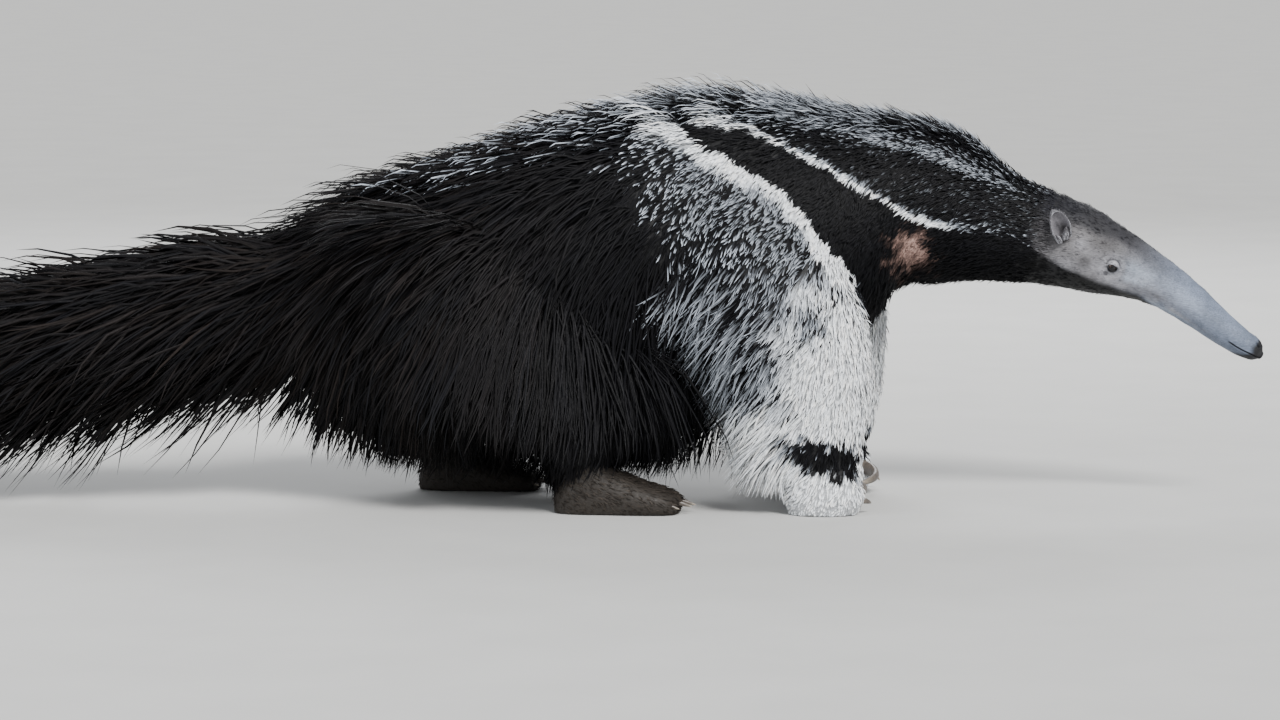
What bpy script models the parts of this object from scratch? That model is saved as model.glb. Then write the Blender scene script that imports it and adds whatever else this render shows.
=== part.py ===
"""A giant anteater in mid-stride, modelled at life size as a still figure.

Metres, +Z up. The animal looks along +X and its left side is at +Y. The origin is on the floor,
under the middle of the whole figure. The body is modelled whole, then parted with thin cuts.
"""

import collections
import math
import random

import bmesh
import bpy
from mathutils import Matrix, Vector

# Driving sizes.
HEAD_AND_BODY = 1.125  # nose tip to root of the tail
HEIGHT = 0.53  # floor to the top of the coat over the shoulders
NOSE_X = 0.583  # the forefeet stand near x = 0
FLOOR = 0.0
GAP = 0.0003  # width of every cut between two nodes

# The trunk from the nose tip to the tip of the tail. Each row is one upright section:
# place behind the nose in percent of HEAD_AND_BODY, then in percent of HEIGHT the height of
# its centre, its half depth and half width, and then how far it leans, in degrees.
TRUNK = (
    (0.0, 34.9, 1.1, 1.3, -34),
    (0.4, 35.6, 2.3, 2.6, -34),
    (0.9, 36.4, 2.9, 3.1, -34),
    (2.2, 38.0, 3.4, 3.6, -34),
    (4.0, 40.7, 3.8, 4.1, -36),
    (7.4, 46.4, 4.8, 4.9, -37),
    (10.7, 51.5, 5.6, 5.9, -34),
    (14.0, 55.8, 6.4, 7.0, -30),
    (17.2, 58.9, 7.8, 8.4, -28),
    (20.2, 61.2, 9.5, 9.4, -24),
    (22.9, 62.6, 10.6, 9.9, -20),
    (29.6, 65.9, 13.7, 11.6, -16),
    (35.2, 69.5, 17.9, 14.0, -10),
    (40.7, 71.3, 19.6, 16.6, 0),
    (45.2, 67.2, 24.7, 19.6, 4),
    (51.8, 64.7, 28.9, 22.6, 2),
    (62.9, 64.2, 31.1, 24.5, 0),
    (74.0, 61.0, 29.8, 25.8, 0),
    (85.2, 57.7, 24.7, 24.5, 4),
    (92.9, 56.2, 19.8, 20.4, 8),
    (99.8, 55.0, 13.6, 13.6, 12),
    (105.2, 53.2, 9.8, 8.5, 12),
    (122.9, 46.6, 7.5, 6.0, 11),
    (140.7, 39.6, 5.7, 4.5, 11),
    (158.5, 33.6, 3.8, 3.0, 9),
    (169.0, 31.2, 2.0, 1.8, 6),
)
HEAD_END = 27.0  # the head's own finer surface runs from the nose to here, in percent
TRUNK_START = 19.0  # the coarser trunk starts inside the head, here
HEAD_MEETS = 23.8  # the two surfaces cross here, and each draws in by HEAD_TUCK beyond it
HEAD_TUCK = 0.007
NOSE_CORE = 1.1  # the mouth's slot goes right through in front of this
TRUNK_RINGS = 80
HEAD_RINGS = 22
TRUNK_SIDES = 40
HEAD_SIDES = 20
NARROW_BACK = 0.12  # how much narrower a section is over the back than under the belly

# The legs from the top down, in percent of HEIGHT: height, forward bend, distance out from the
# middle of the body, half depth from front to rear, and half width.
FORELEG = (
    (78.0, 0.0, 11.0, 15.0, 9.0),
    (60.4, 2.3, 17.4, 19.0, 10.2),
    (44.3, 4.3, 20.6, 18.5, 10.2),
    (28.3, 3.9, 22.0, 15.1, 9.4),
    (17.0, 1.8, 22.6, 12.7, 8.2),
    (10.4, 0.5, 22.8, 10.3, 7.4),
    (6.5, 0.5, 22.8, 9.4, 7.0),
)
HINDLEG = (
    (66.0, 0.0, 13.0, 20.5, 11.0),
    (49.0, 2.3, 18.0, 22.6, 12.2),
    (34.0, 7.9, 21.4, 17.4, 10.6),
    (20.8, 4.2, 21.8, 11.7, 8.2),
    (11.3, 0.0, 21.4, 8.5, 6.8),
    (7.5, 0.0, 21.2, 8.0, 6.6),
)
LEG_RINGS = 26
LEG_SIDES = 24

# Where each leg leaves the trunk and stands, in metres along X. The near legs are the right ones.
LEGS = {
    "fore_right": {"rows": FORELEG, "side": -1, "top": -0.086, "foot": 0.020},
    "fore_left": {"rows": FORELEG, "side": 1, "top": -0.043, "foot": 0.042},
    "hind_right": {"rows": HINDLEG, "side": -1, "top": -0.400, "foot": -0.262},
    "hind_left": {"rows": HINDLEG, "side": 1, "top": -0.400, "foot": -0.440},
}

# The feet, in percent of HEIGHT. A forefoot is a fist: height, place forward of the leg's foot,
# half depth and half width. A hind foot lies along the floor: place forward, half width, height.
FIST = (
    (11.4, 0.0, 8.6, 6.5),
    (7.0, 1.0, 9.6, 7.7),
    (3.4, 1.7, 9.4, 8.0),
    (0.9, 1.5, 8.8, 7.5),
    (-0.9, 1.4, 8.4, 7.1),
)
SOLE = (
    (-8.4, 2.6, 5.0),
    (-6.0, 5.0, 9.4),
    (-1.0, 6.5, 14.0),
    (5.5, 7.4, 11.0),
    (12.5, 8.2, 8.0),
    (18.0, 8.0, 6.2),
    (20.2, 6.2, 4.6),
)
FOOT_SIDES = 12

# Eyes and ears, in metres and degrees. "around" turns from the top of the head to its side.
EYE_ALONG = 16.6
EYE_AROUND = 106.0
EYE_RADIUS = 0.0084
EYE_SUNK = 0.0062  # from the skin down to the centre of the eye
LID = 0.0024
EYE_OPENING = (0.009, 0.0078, 0.0050)
EAR_ALONG = 22.6
EAR_AROUND = 88.0
EAR_HEIGHT = 0.050
EAR_WIDTH = 0.031
EAR_THICKNESS = 0.015
EAR_WALL = 0.0032
EAR_BASE = (0.009, 0.0105, 0.013)
NOSTRIL_ALONG = 0.75
NOSTRIL_AROUND = 62.0
NOSTRIL = (0.0042, 0.0020, 0.0028)
MOUTH_END = 3.4
MOUTH_BELOW = 0.42  # share of the half depth
MOUTH_WIDTH = 0.0012
MOUTH_DEPTH = 0.0030

# The claws of a right or left foot, in metres from the middle of the foot: forward, inward, up,
# length, root radius, heading (turned from forward to inward) and curl, in degrees, and drop.
FORECLAWS = {
    "third": (0.036, 0.016, 0.032, 0.092, 0.0098, 32, 150, 0.018),
    "second": (0.026, 0.026, 0.044, 0.060, 0.0072, 66, 130, 0.004),
    "fourth": (0.046, -0.008, 0.020, 0.032, 0.0052, 8, 80, 0.009),
}
HINDCLAWS = {
    "first": (0.092, 0.030, 0.014, 0.020, 0.0038, 8, -4, 0.006),
    "second": (0.104, 0.016, 0.016, 0.024, 0.0043, 4, -4, 0.007),
    "third": (0.108, 0.000, 0.016, 0.025, 0.0044, 0, 0, 0.007),
    "fourth": (0.104, -0.016, 0.016, 0.024, 0.0042, -4, 4, 0.007),
    "fifth": (0.092, -0.030, 0.014, 0.020, 0.0038, -8, 4, 0.006),
}
CLAW_FLATNESS = 0.78
CLAW_GAP = 0.0005  # wider than the cuts, as a claw's sides are faceted
TOE = (0.020, 0.0098, 0.0135)  # half length, half width, half height
KNUCKLE = (0.017, 0.0125, 0.016)

# The long coat, in locks. A lock's rings: share of its length, of its width and of its thickness.
LOCK_RINGS = ((0.0, 0.72, 1.0), (0.40, 1.0, 1.0), (0.78, 0.64, 0.7))
LOCK_THICKNESS = 0.0085
LOCK_ROOT = 0.011  # how deep a root lies under the surface
LOCK_BEND = 0.45  # share of its length in which a lock turns to its lie
LOCK_VARIES = 0.12  # share by which lengths and widths differ
LOCK_STRAYS = 0.08
COAT_CLEARANCE = 0.020  # from the lowest tips to the floor
COAT_SEED = 7

# Rows of locks along the trunk: first and last place behind the nose in percent of HEAD_AND_BODY,
# how many, turn from the back in degrees, the way they lie (forward, out, up) and how much lower
# that is at the last place, first and last length and the width in metres, how far they lift at
# the root, how far their flat side turns to the flank, and whether on both sides or in turn.
LockRow = collections.namedtuple(
    "LockRow", "first last count around lie dip lengths width lift upright sides"
)
TRUNK_LOCKS = (
    # the crest and the locks beside it
    LockRow(31, 101, 17, 12, (-1, 0.10, 0.16), 0.42, (0.055, 0.14), 0.050, 0.5, 0.75, "turn"),
    LockRow(33, 99, 8, 42, (-1, 0.22, -0.06), 0.40, (0.060, 0.14), 0.054, 0.35, 0.2, "both"),
    # the flanks, the rump and the belly
    LockRow(60, 96, 5, 72, (-0.7, 0.2, -0.75), 0, (0.115, 0.115), 0.064, 0.4, 0, "both"),
    LockRow(94, 102, 2, 62, (-0.75, 0.1, -0.7), 0, (0.17, 0.17), 0.062, 0.4, 0, "both"),
    LockRow(90, 103, 3, 102, (-0.75, 0.1, -0.8), 0, (0.17, 0.17), 0.064, 0.4, 0, "both"),
    LockRow(54, 84, 5, 176, (-0.35, 0, -1), 0, (0.085, 0.085), 0.070, 0.2, 1, "turn"),
    # the plume, below, above and beside the tail
    LockRow(104, 167, 16, 158, (-0.62, 0.08, -0.8), 0, (0.235, 0.235), 0.066, 0.2, 0.9, "turn"),
    LockRow(105, 166, 11, 20, (-1, 0.10, 0.2), 0, (0.16, 0.16), 0.064, 0.6, 0.9, "turn"),
    LockRow(106, 164, 8, 96, (-0.85, 0.2, -0.45), 0, (0.19, 0.19), 0.066, 0.35, 0, "both"),
)
SKIRT_START, SKIRT_STEP = 60.6, 4.8  # in percent, as above
SKIRT_LAPS = 0.012  # how far the last skirt may hang before the knee
SKIRT_LIE = (-0.12, 0, -1)
SKIRT_WIDTH = 0.060
SKIRT_LOCKS = ((98, 0.0, 0.230, 0.3), (126, 1.2, 0.150, 0.2))  # turn, step behind, length, lift
KNEE_LEVEL = 34.0
# Locks of a foreleg and of a thigh: height in percent, turn from the front, then how far the
# lock swings back and out, length, width, lift and how far its flat side turns to the flank.
FORELEG_LOCKS = (
    (42, 168, 0.55, 0.05, 0.058, 0.038, 0.5, 0.8),
    (35, 192, 0.55, 0.05, 0.058, 0.038, 0.5, 0.8),
    (28, 165, 0.55, 0.05, 0.058, 0.038, 0.5, 0.8),
    (21, 194, 0.55, 0.05, 0.058, 0.038, 0.5, 0.8),
    (15, 170, 0.55, 0.05, 0.052, 0.036, 0.5, 0.8),
)
HINDLEG_LOCKS = (
    (53, 28, 0.25, 0.14, 0.175, 0.058, 0.3, 0),
    (54, 62, 0.25, 0.14, 0.175, 0.058, 0.3, 0),
    (52, 96, 0.25, 0.14, 0.175, 0.058, 0.3, 0),
    (54, 130, 0.60, 0.14, 0.175, 0.058, 0.3, 0),
    (52, 165, 0.60, 0.14, 0.175, 0.058, 0.3, 0),
    (37, 82, 0.25, 0.14, 0.110, 0.060, 0.3, 0),
    (37, 122, 0.60, 0.14, 0.110, 0.060, 0.3, 0),
)
FAN_TURNS = (-50, 24, 7)  # first, last and how many
FAN_UNDER = -20  # those turned further down grow from under the tail
FAN_SPREAD = 0.10
FAN_LENGTH, FAN_WIDTH = 0.200, 0.054

# The coarse body surface.
VOXEL = 0.008
SMOOTHING = 8
BODY_TRIANGLES = 2000

# Planes that part the nodes: a point, and the way out of the node.
BEHIND_EARS = ((0.298, 0, 0.350), (-0.91, 0, 0.41))
BEFORE_CHEST = ((0.092, 0, 0.385), (-0.96, 0, -0.27))
MID_TRUNK = ((-0.150, 0, 0.340), (-1, 0, 0))
LEG_TOPS = (0.1025, 0.3075, -0.921, 0.389)  # out and up of the point, then of the way out
BETWEEN_LEGS, BETWEEN_FEET = -0.176, -0.078
FOREARM_COAT = (0.052, 0.034)  # room behind the leg at the wrist and at the elbow
SHANK_COAT = (0.004, 0.006)
ELBOW, WRIST = 0.190, 0.060
KNEE, ANKLE = 0.150, 0.062
TAIL_STARTS = (-0.575, -0.830, -1.080)
UNDER_COAT_LIE = (0.83, 0, -0.55)
UPPER_COAT_LIE = (0.39, 0, 0.92)

COLOURS = {
    "coat_black": ((0.012, 0.012, 0.014), 0.75),
    "coat_grizzled": ((0.11, 0.11, 0.12), 0.75),
    "coat_white": ((0.72, 0.74, 0.76), 0.75),
    "face": ((0.22, 0.23, 0.25), 0.6),
    "claw": ((0.05, 0.045, 0.04), 0.35),
    "eye": ((0.01, 0.008, 0.008), 0.08),
}


def part_of_height(percent):
    return percent / 100 * HEIGHT


def between(rows, place):
    """The rest of the row at one place, from a smooth curve through the rows."""
    places = [row[0] for row in rows]
    if places[0] > places[-1]:
        rows, places = rows[::-1], places[::-1]
    place = min(max(place, places[0]), places[-1])
    low = max(i for i in range(len(rows) - 1) if places[i] <= place)
    high = low + 1
    span = places[high] - places[low]
    t = (place - places[low]) / span
    before, after = max(low - 1, 0), min(high + 1, len(rows) - 1)
    found = []
    for column in range(1, len(rows[0])):
        start, end = rows[low][column], rows[high][column]
        rise_in = (end - rows[before][column]) / (places[high] - places[before]) * span
        rise_out = (rows[after][column] - start) / (places[after] - places[low]) * span
        found.append(
            (2 * t**3 - 3 * t**2 + 1) * start
            + (t**3 - 2 * t**2 + t) * rise_in
            + (3 * t**2 - 2 * t**3) * end
            + (t**3 - t**2) * rise_out
        )
    return found


def steps(first, last, count):
    return [first + (last - first) * i / (count - 1) for i in range(count)]


def linked(name, mesh):
    made = bpy.data.objects.new(name, mesh)
    bpy.context.scene.collection.objects.link(made)
    return made


def object_of(name, shape):
    """A new object with the shape of a bmesh, its faces turned outwards."""
    bmesh.ops.recalc_face_normals(shape, faces=shape.faces)
    mesh = bpy.data.meshes.new(name)
    shape.to_mesh(mesh)
    shape.free()
    return linked(name, mesh)


def loft(name, rings):
    """A closed surface over rings of points, with a point in the middle of each end."""
    shape = bmesh.new()
    rows = [[shape.verts.new(point) for point in ring] for ring in rings]
    sides = len(rows[0])
    for low, high in zip(rows, rows[1:]):
        for i in range(sides):
            j = (i + 1) % sides
            shape.faces.new((low[i], low[j], high[j], high[i]))
    for row in (rows[0], rows[-1]):
        middle = shape.verts.new(sum((v.co for v in row), Vector()) / sides)
        for i in range(sides):
            shape.faces.new((row[i], row[(i + 1) % sides], middle))
    return object_of(name, shape)


def trunk_section(along):
    """Centre, upward direction, half depth and half width of the trunk at one place."""
    height, depth, width, lean = between(TRUNK, along)
    lean = math.radians(lean)
    centre = Vector((NOSE_X - along / 100 * HEAD_AND_BODY, 0, part_of_height(height)))
    up = Vector((-math.sin(lean), 0, math.cos(lean)))
    return centre, up, part_of_height(depth), part_of_height(width)


def trunk_point(along, around):
    """A point of the trunk's surface. around turns from the back (0) by the left side (90)."""
    centre, up, depth, width = trunk_section(along)
    turn = math.radians(around)
    aside = width * math.sin(turn) * (1 - NARROW_BACK * math.cos(turn))
    return centre + up * depth * math.cos(turn) + Vector((0, aside, 0))


def leg_section(leg, up):
    """Centre, half depth and half width of a leg at a height in percent of HEIGHT."""
    rows = leg["rows"]
    bend, out, depth, width = between(rows, up)
    share = (rows[0][0] - up) / (rows[0][0] - rows[-1][0])
    forward = leg["top"] + (leg["foot"] - leg["top"]) * share + part_of_height(bend)
    centre = Vector((forward, leg["side"] * part_of_height(out), part_of_height(up)))
    return centre, part_of_height(depth), part_of_height(width)


def leg_point(leg, up, around):
    """A point of a leg's surface. around turns from the front (0) by the outer side (90)."""
    centre, depth, width = leg_section(leg, up)
    turn = math.radians(around)
    outward = leg["side"] * width * math.sin(turn)
    return centre + Vector((depth * math.cos(turn), outward, 0))


def outward_at(point_of, first, second):
    """The direction that a surface faces, from two of its own small steps."""
    step = 0.5
    here = point_of(first, second)
    one = point_of(first + step, second) - point_of(first - step, second)
    other = point_of(first, second + step) - point_of(first, second - step)
    facing = one.cross(other).normalized()
    across = here - point_of(first, second + 180)
    return facing if facing.dot(across) > 0 else -facing


def full_turn(sides):
    return [360 * i / sides for i in range(sides)]


def skin_along(along, around, grow):
    """A point of the trunk's surface, moved out by grow."""
    point = trunk_point(along, around)
    centre = trunk_section(along)[0]
    return point + (point - centre).normalized() * grow


def head_surface(grow=0.0):
    """The head, which draws in where it ends inside the neck."""
    rings = []
    for i in range(HEAD_RINGS):
        along = HEAD_END * (i / (HEAD_RINGS - 1)) ** 1.25
        inwards = HEAD_TUCK * max(0.0, (along - HEAD_MEETS) / (HEAD_END - HEAD_MEETS))
        rings.append([skin_along(along, t, grow - inwards) for t in full_turn(HEAD_SIDES)])
    return loft("head", rings)


def trunk_surface():
    """The trunk and the core of the tail, which draws in where it starts inside the head."""
    rings = []
    for along in steps(TRUNK_START, TRUNK[-1][0], TRUNK_RINGS):
        inwards = HEAD_TUCK * max(0.0, (HEAD_MEETS - along) / (HEAD_MEETS - TRUNK_START))
        rings.append([skin_along(along, t, -inwards) for t in full_turn(TRUNK_SIDES)])
    return loft("trunk", rings)


def leg_surface(name, leg):
    places = steps(leg["rows"][0][0], leg["rows"][-1][0], LEG_RINGS)
    return loft(name, [[leg_point(leg, up, t) for t in full_turn(LEG_SIDES)] for up in places])


def settle(made):
    """Replaces an object's mesh by what its modifiers make of it."""
    graph = bpy.context.evaluated_depsgraph_get()
    mesh = bpy.data.meshes.new_from_object(made.evaluated_get(graph))
    made.modifiers.clear()
    old, made.data = made.data, mesh
    bpy.data.meshes.remove(old)
    return made


def discard(objects):
    for made in objects:
        mesh = made.data
        bpy.data.objects.remove(made)
        bpy.data.meshes.remove(mesh)


def combined(made, operation, others):
    """Joins other closed objects to one or cuts them from it, then removes them."""
    group = bpy.data.collections.new("others")
    bpy.context.scene.collection.children.link(group)
    for other in others:
        group.objects.link(other)
    joint = made.modifiers.new("combined", "BOOLEAN")
    joint.operation = operation
    joint.solver = "MANIFOLD"
    joint.operand_type = "COLLECTION"
    joint.collection = group
    settle(made)
    discard(others)
    bpy.data.collections.remove(group)
    return made


def copy_of(made, name):
    return linked(name, made.data.copy())


def largest_surface(made):
    """Keeps only the closed surface of an object that holds the most."""
    shape = bmesh.new()
    shape.from_mesh(made.data)
    shape.verts.ensure_lookup_table()
    seen, best, best_volume = set(), [], 0.0
    for vert in shape.verts:
        if vert in seen:
            continue
        seen.add(vert)
        island, front = [vert], [vert]
        while front:
            for edge in front.pop().link_edges:
                for other in edge.verts:
                    if other not in seen:
                        seen.add(other)
                        island.append(other)
                        front.append(other)
        faces = {face for v in island for face in v.link_faces}
        volume = sum(
            face.verts[0].co.dot(one.co.cross(two.co)) / 6
            for face in faces
            for one, two in zip(face.verts[1:], face.verts[2:])
        )
        if volume > best_volume:
            best, best_volume = island, volume
    kept = set(best)
    bmesh.ops.delete(shape, geom=[v for v in shape.verts if v not in kept], context="VERTS")
    shape.to_mesh(made.data)
    shape.free()
    return made


def region(limits, grow=0.0):
    """A convex block of space. Each limit is a point of a plane and the way out through it."""
    shape = bmesh.new()
    bmesh.ops.create_cube(shape, size=6.0)
    for point, outward in limits:
        outward = Vector(outward).normalized()
        cut = bmesh.ops.bisect_plane(
            shape,
            geom=shape.verts[:] + shape.edges[:] + shape.faces[:],
            plane_co=Vector(point) + outward * grow,
            plane_no=outward,
            clear_outer=True,
        )
        edges = [part for part in cut["geom_cut"] if isinstance(part, bmesh.types.BMEdge)]
        bmesh.ops.edgeloop_fill(shape, edges=edges)
    return object_of("region", shape)


def carved(whole, name, limits):
    """Cuts a node out of the whole figure, with a thin gap to what is left of it."""
    piece = copy_of(whole, name)
    combined(piece, "INTERSECT", [region(limits)])
    combined(whole, "DIFFERENCE", [region(limits, GAP)])
    return largest_surface(piece)


def ellipsoid(name, centre, radii, turn=None, rings=8, sides=12):
    shape = bmesh.new()
    bmesh.ops.create_uvsphere(shape, u_segments=sides, v_segments=rings, radius=1.0)
    matrix = Matrix.Translation(centre) @ (turn or Matrix()) @ Matrix.Diagonal((*radii, 1.0))
    bmesh.ops.transform(shape, matrix=matrix, verts=shape.verts)
    return object_of(name, shape)


def facing(forward, up):
    """A turn that takes X to forward and Z as near to up as it can."""
    forward = Vector(forward).normalized()
    left = Vector(up).cross(forward).normalized()
    top = forward.cross(left)
    return Matrix((forward, left, top)).transposed().to_4x4()


def fist(name, leg):
    rings = []
    for up in steps(FIST[0][0], FIST[-1][0], 6):
        forward, depth, width = (part_of_height(v) for v in between(FIST, up))
        out = part_of_height(leg["rows"][-1][2])
        centre = Vector((leg["foot"] + forward, leg["side"] * out, part_of_height(up)))
        rings.append(
            [
                centre + Vector((depth * rounded(math.cos(t)), width * rounded(math.sin(t)), 0))
                for t in map(math.radians, full_turn(FOOT_SIDES))
            ]
        )
    return loft(name, rings)


def rounded(value, power=0.8):
    """Makes an ellipse squarer."""
    return math.copysign(abs(value) ** power, value)


def sole(name, leg):
    rings = []
    for forward in steps(SOLE[0][0], SOLE[-1][0], 8):
        width, height = (part_of_height(v) for v in between(SOLE, forward))
        out = part_of_height(leg["rows"][-1][2])
        centre = Vector(
            (leg["foot"] + part_of_height(forward), leg["side"] * out, height * 0.36)
        )
        rings.append(
            [
                centre + Vector((0, width * rounded(math.cos(t)), height * 0.64 * math.sin(t)))
                for t in map(math.radians, full_turn(FOOT_SIDES))
            ]
        )
    return loft(name, rings)


def foot_point(leg, forward, inward, up):
    """A point by its place from the middle of a foot."""
    out = part_of_height(leg["rows"][-1][2]) - inward
    return Vector((leg["foot"] + forward, leg["side"] * out, up))


def claw(name, leg, shape, grow=0.0):
    """A curved, pointed claw whose root lies inside the foot."""
    forward, inward, up, length, radius, heading, curl, drop = shape
    rings = []
    sides, count = (7, 7) if leg["rows"] is FORELEG else (5, 4)
    here = foot_point(leg, forward, inward, up)
    step = length / (count - 1)
    for i in range(count):
        share = i / (count - 1)
        turn = math.radians(heading + curl * share)
        way = Vector((math.cos(turn), -leg["side"] * math.sin(turn), -drop / length)).normalized()
        aside = way.cross(Vector((0, 0, 1))).normalized()
        top = aside.cross(way)
        thick = radius * (1 - 0.9 * share**1.4)
        half = Vector((thick * CLAW_FLATNESS + grow, thick + grow))
        rings.append(
            [
                here + aside * half.x * math.cos(t) + top * half.y * math.sin(t)
                for t in map(math.radians, full_turn(sides))
            ]
        )
        here = here + way * step
    rings[0] = [point - (rings[1][0] - rings[0][0]).normalized() * grow for point in rings[0]]
    return loft(name, rings)


def foot_parts(name, leg):
    """The closed pieces that are joined to make one foot, without its claws."""
    claws, radii = (FORECLAWS, KNUCKLE) if leg["rows"] is FORELEG else (HINDCLAWS, TOE)
    block = fist(name, leg) if leg["rows"] is FORELEG else sole(name, leg)
    parts = [block]
    for shape in claws.values():
        forward, inward, up = shape[:3]
        turn = math.radians(shape[5])
        way = Vector((math.cos(turn), -leg["side"] * math.sin(turn), -0.12))
        middle = foot_point(leg, forward, inward, up) - way * radii[0] * 0.45
        parts.append(ellipsoid(name, middle, radii, facing(way, (0, 0, 1)), 5, 6))
    return parts


def eye_place(side):
    around = side * EYE_AROUND
    out = outward_at(trunk_point, EYE_ALONG, around)
    return trunk_point(EYE_ALONG, around) - out * EYE_SUNK, out


def eyeball(name, side, grow=0.0):
    centre, out = eye_place(side)
    radius = EYE_RADIUS + grow
    return ellipsoid(name, centre, (radius,) * 3, facing(out, (0, 0, 1)), rings=7, sides=11)


def eye_opening(side):
    """What is cut from the lids so that the eye shows between them."""
    centre, out = eye_place(side)
    middle = centre + out * EYE_OPENING[0]
    return ellipsoid("opening", middle, EYE_OPENING, facing(out, (0.2, 0, 1)), 6, 10)


def nostril(side):
    around = side * NOSTRIL_AROUND
    out = outward_at(trunk_point, NOSTRIL_ALONG, around)
    place = trunk_point(NOSTRIL_ALONG, around)
    return ellipsoid("nostril", place, NOSTRIL, facing(out, (0, 0, 1)), 6, 8)


def mouth():
    """A thin slot round the end of the snout, below its middle."""
    rings = []
    for along in steps(-1.2, MOUTH_END, 5):
        centre, up, depth, width = trunk_section(along)
        if along < 0:
            centre = centre + Vector((-along / 100 * HEAD_AND_BODY, 0, along / 100 * HEIGHT))
        middle = centre - up * depth * MOUTH_BELOW
        aside = Vector((0, width * 1.5, 0))
        half = up * MOUTH_WIDTH / 2
        corners = (aside + half, half - aside, -aside - half, aside - half)
        rings.append([middle + corner for corner in corners])
    slot = loft("mouth", rings)
    places = steps(NOSE_CORE, MOUTH_END + 1, 5)
    core = [[skin_along(a, t, -MOUTH_DEPTH) for t in full_turn(HEAD_SIDES // 2)] for a in places]
    return combined(slot, "DIFFERENCE", [loft("core", core)])


def ear(name, side):
    """A rounded cup on the side of the head, open outwards and a little forwards."""
    root = trunk_point(EAR_ALONG, side * EAR_AROUND)
    up = Vector((-0.30, side * 0.42, 0.86)).normalized()
    turn = facing((0.40, side * 0.88, -0.25), up)
    opening = turn.to_3x3() @ Vector((1, 0, 0))
    up = turn.to_3x3() @ Vector((0, 0, 1))
    half = Vector((EAR_THICKNESS, EAR_WIDTH, EAR_HEIGHT)) / 2
    middle = root + up * half.z * 0.80
    made = ellipsoid(name, middle, half, turn, 8, 12)
    combined(made, "UNION", [ellipsoid("base", root, EAR_BASE, turn, 6, 8)])
    scoop = half - Vector((EAR_WALL, EAR_WALL, EAR_WALL))
    scoop.x *= 1.5
    hollow = ellipsoid("hollow", middle + opening * (EAR_WALL * 2), scoop, turn, 7, 10)
    combined(made, "DIFFERENCE", [hollow])
    combined(made, "DIFFERENCE", [head_surface(GAP)])
    return largest_surface(made)


def lock(root, out, lie, face, lift, length, width):
    """A flat, tapered lock with a ridge, which rises from its root and bends to its lie."""
    way = (lie + out * lift).normalized()
    shape = bmesh.new()
    here, before, last = root - out * LOCK_ROOT, 0.0, None
    for share, wide, thick in LOCK_RINGS:
        here = here + way * (share - before) * length
        before = share
        bend = min(1.0, share / LOCK_BEND)
        way = (lie + out * lift * (1 - bend)).normalized()
        aside = face.cross(way).normalized() * width / 2 * wide
        through = way.cross(aside).normalized() * LOCK_THICKNESS * thick
        ring = [shape.verts.new(here + step) for step in (aside, through, -aside)]
        if last:
            for i in range(3):
                shape.faces.new((last[i], last[i - 1], ring[i - 1], ring[i]))
        else:
            shape.faces.new(ring)
        last = ring
    tip = shape.verts.new(here + way * (1 - before) * length)
    for i in range(3):
        shape.faces.new((last[i], last[i - 1], tip))
    return object_of("lock", shape)


class Coat:
    """Sets locks on the body, each a little different from the next."""

    def __init__(self):
        self.draw = random.Random(COAT_SEED)
        self.locks = []

    def varied(self, value):
        return value * (1 + LOCK_VARIES * self.draw.uniform(-1, 1))

    def add(self, point_of, first, second, lie, length, width, lift, upright):
        """Sets one lock. upright turns its flat side from the surface towards one flank."""
        out = outward_at(point_of, first, second)
        root = point_of(first, second)
        stray = Vector([self.draw.uniform(-LOCK_STRAYS, LOCK_STRAYS) for _ in range(3)])
        lie = (Vector(lie).normalized() + stray).normalized()
        length = self.varied(length)
        if lie.z < 0:
            length = min(length, (root.z - FLOOR - COAT_CLEARANCE) / -lie.z)
        flank = Vector((0, 1 if root.y >= 0 else -1, 0))
        face = (out * (1 - upright) + flank * upright).normalized()
        width = self.varied(width)
        self.locks.append(lock(root, out, lie, face, lift, length, width))

    def add_row(self, row, side, places):
        """Sets a row's locks on one side of the trunk (-1 or 1)."""
        for along in places:
            share = (along - row.first) / max(row.last - row.first, 1)
            back, out, up = row.lie
            lie = (back, side * out, up - row.dip * share)
            length = row.lengths[0] + (row.lengths[1] - row.lengths[0]) * share
            around = side * row.around
            self.add(trunk_point, along, around, lie, length, row.width, row.lift, row.upright)


def trunk_coat(coat):
    """Along the back, over the flanks and the rump, under the belly, and the tail's plume."""
    for row in TRUNK_LOCKS:
        places = steps(row.first, row.last, row.count)
        if row.sides == "both":
            coat.add_row(row, -1, places)
            coat.add_row(row, 1, places)
        else:
            coat.add_row(row, -1, places[::2])
            coat.add_row(row, 1, places[1::2])


def skirts(coat):
    """Hanging from the lower flanks, from behind the foreleg to the front of the thigh."""
    for side, name in ((-1, "hind_right"), (1, "hind_left")):
        knee, depth, _ = leg_section(LEGS[name], KNEE_LEVEL)
        along = SKIRT_START
        while NOSE_X - along / 100 * HEAD_AND_BODY > knee.x + depth - SKIRT_LAPS:
            for around, step, length, lift in SKIRT_LOCKS:
                coat.add(
                    trunk_point, along + step, side * around, SKIRT_LIE, length, SKIRT_WIDTH, lift, 0
                )
            along += SKIRT_STEP


def leg_coat(coat):
    """Behind each foreleg, and round the outer side and the rear of each thigh."""
    for leg in LEGS.values():
        rows = FORELEG_LOCKS if leg["rows"] is FORELEG else HINDLEG_LOCKS

        def point_of(up, around, leg=leg):
            return leg_point(leg, up, around)

        for up, around, back, out, length, width, lift, upright in rows:
            lie = (-back, leg["side"] * out, -1)
            coat.add(point_of, up, around, lie, length, width, lift, upright)


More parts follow.
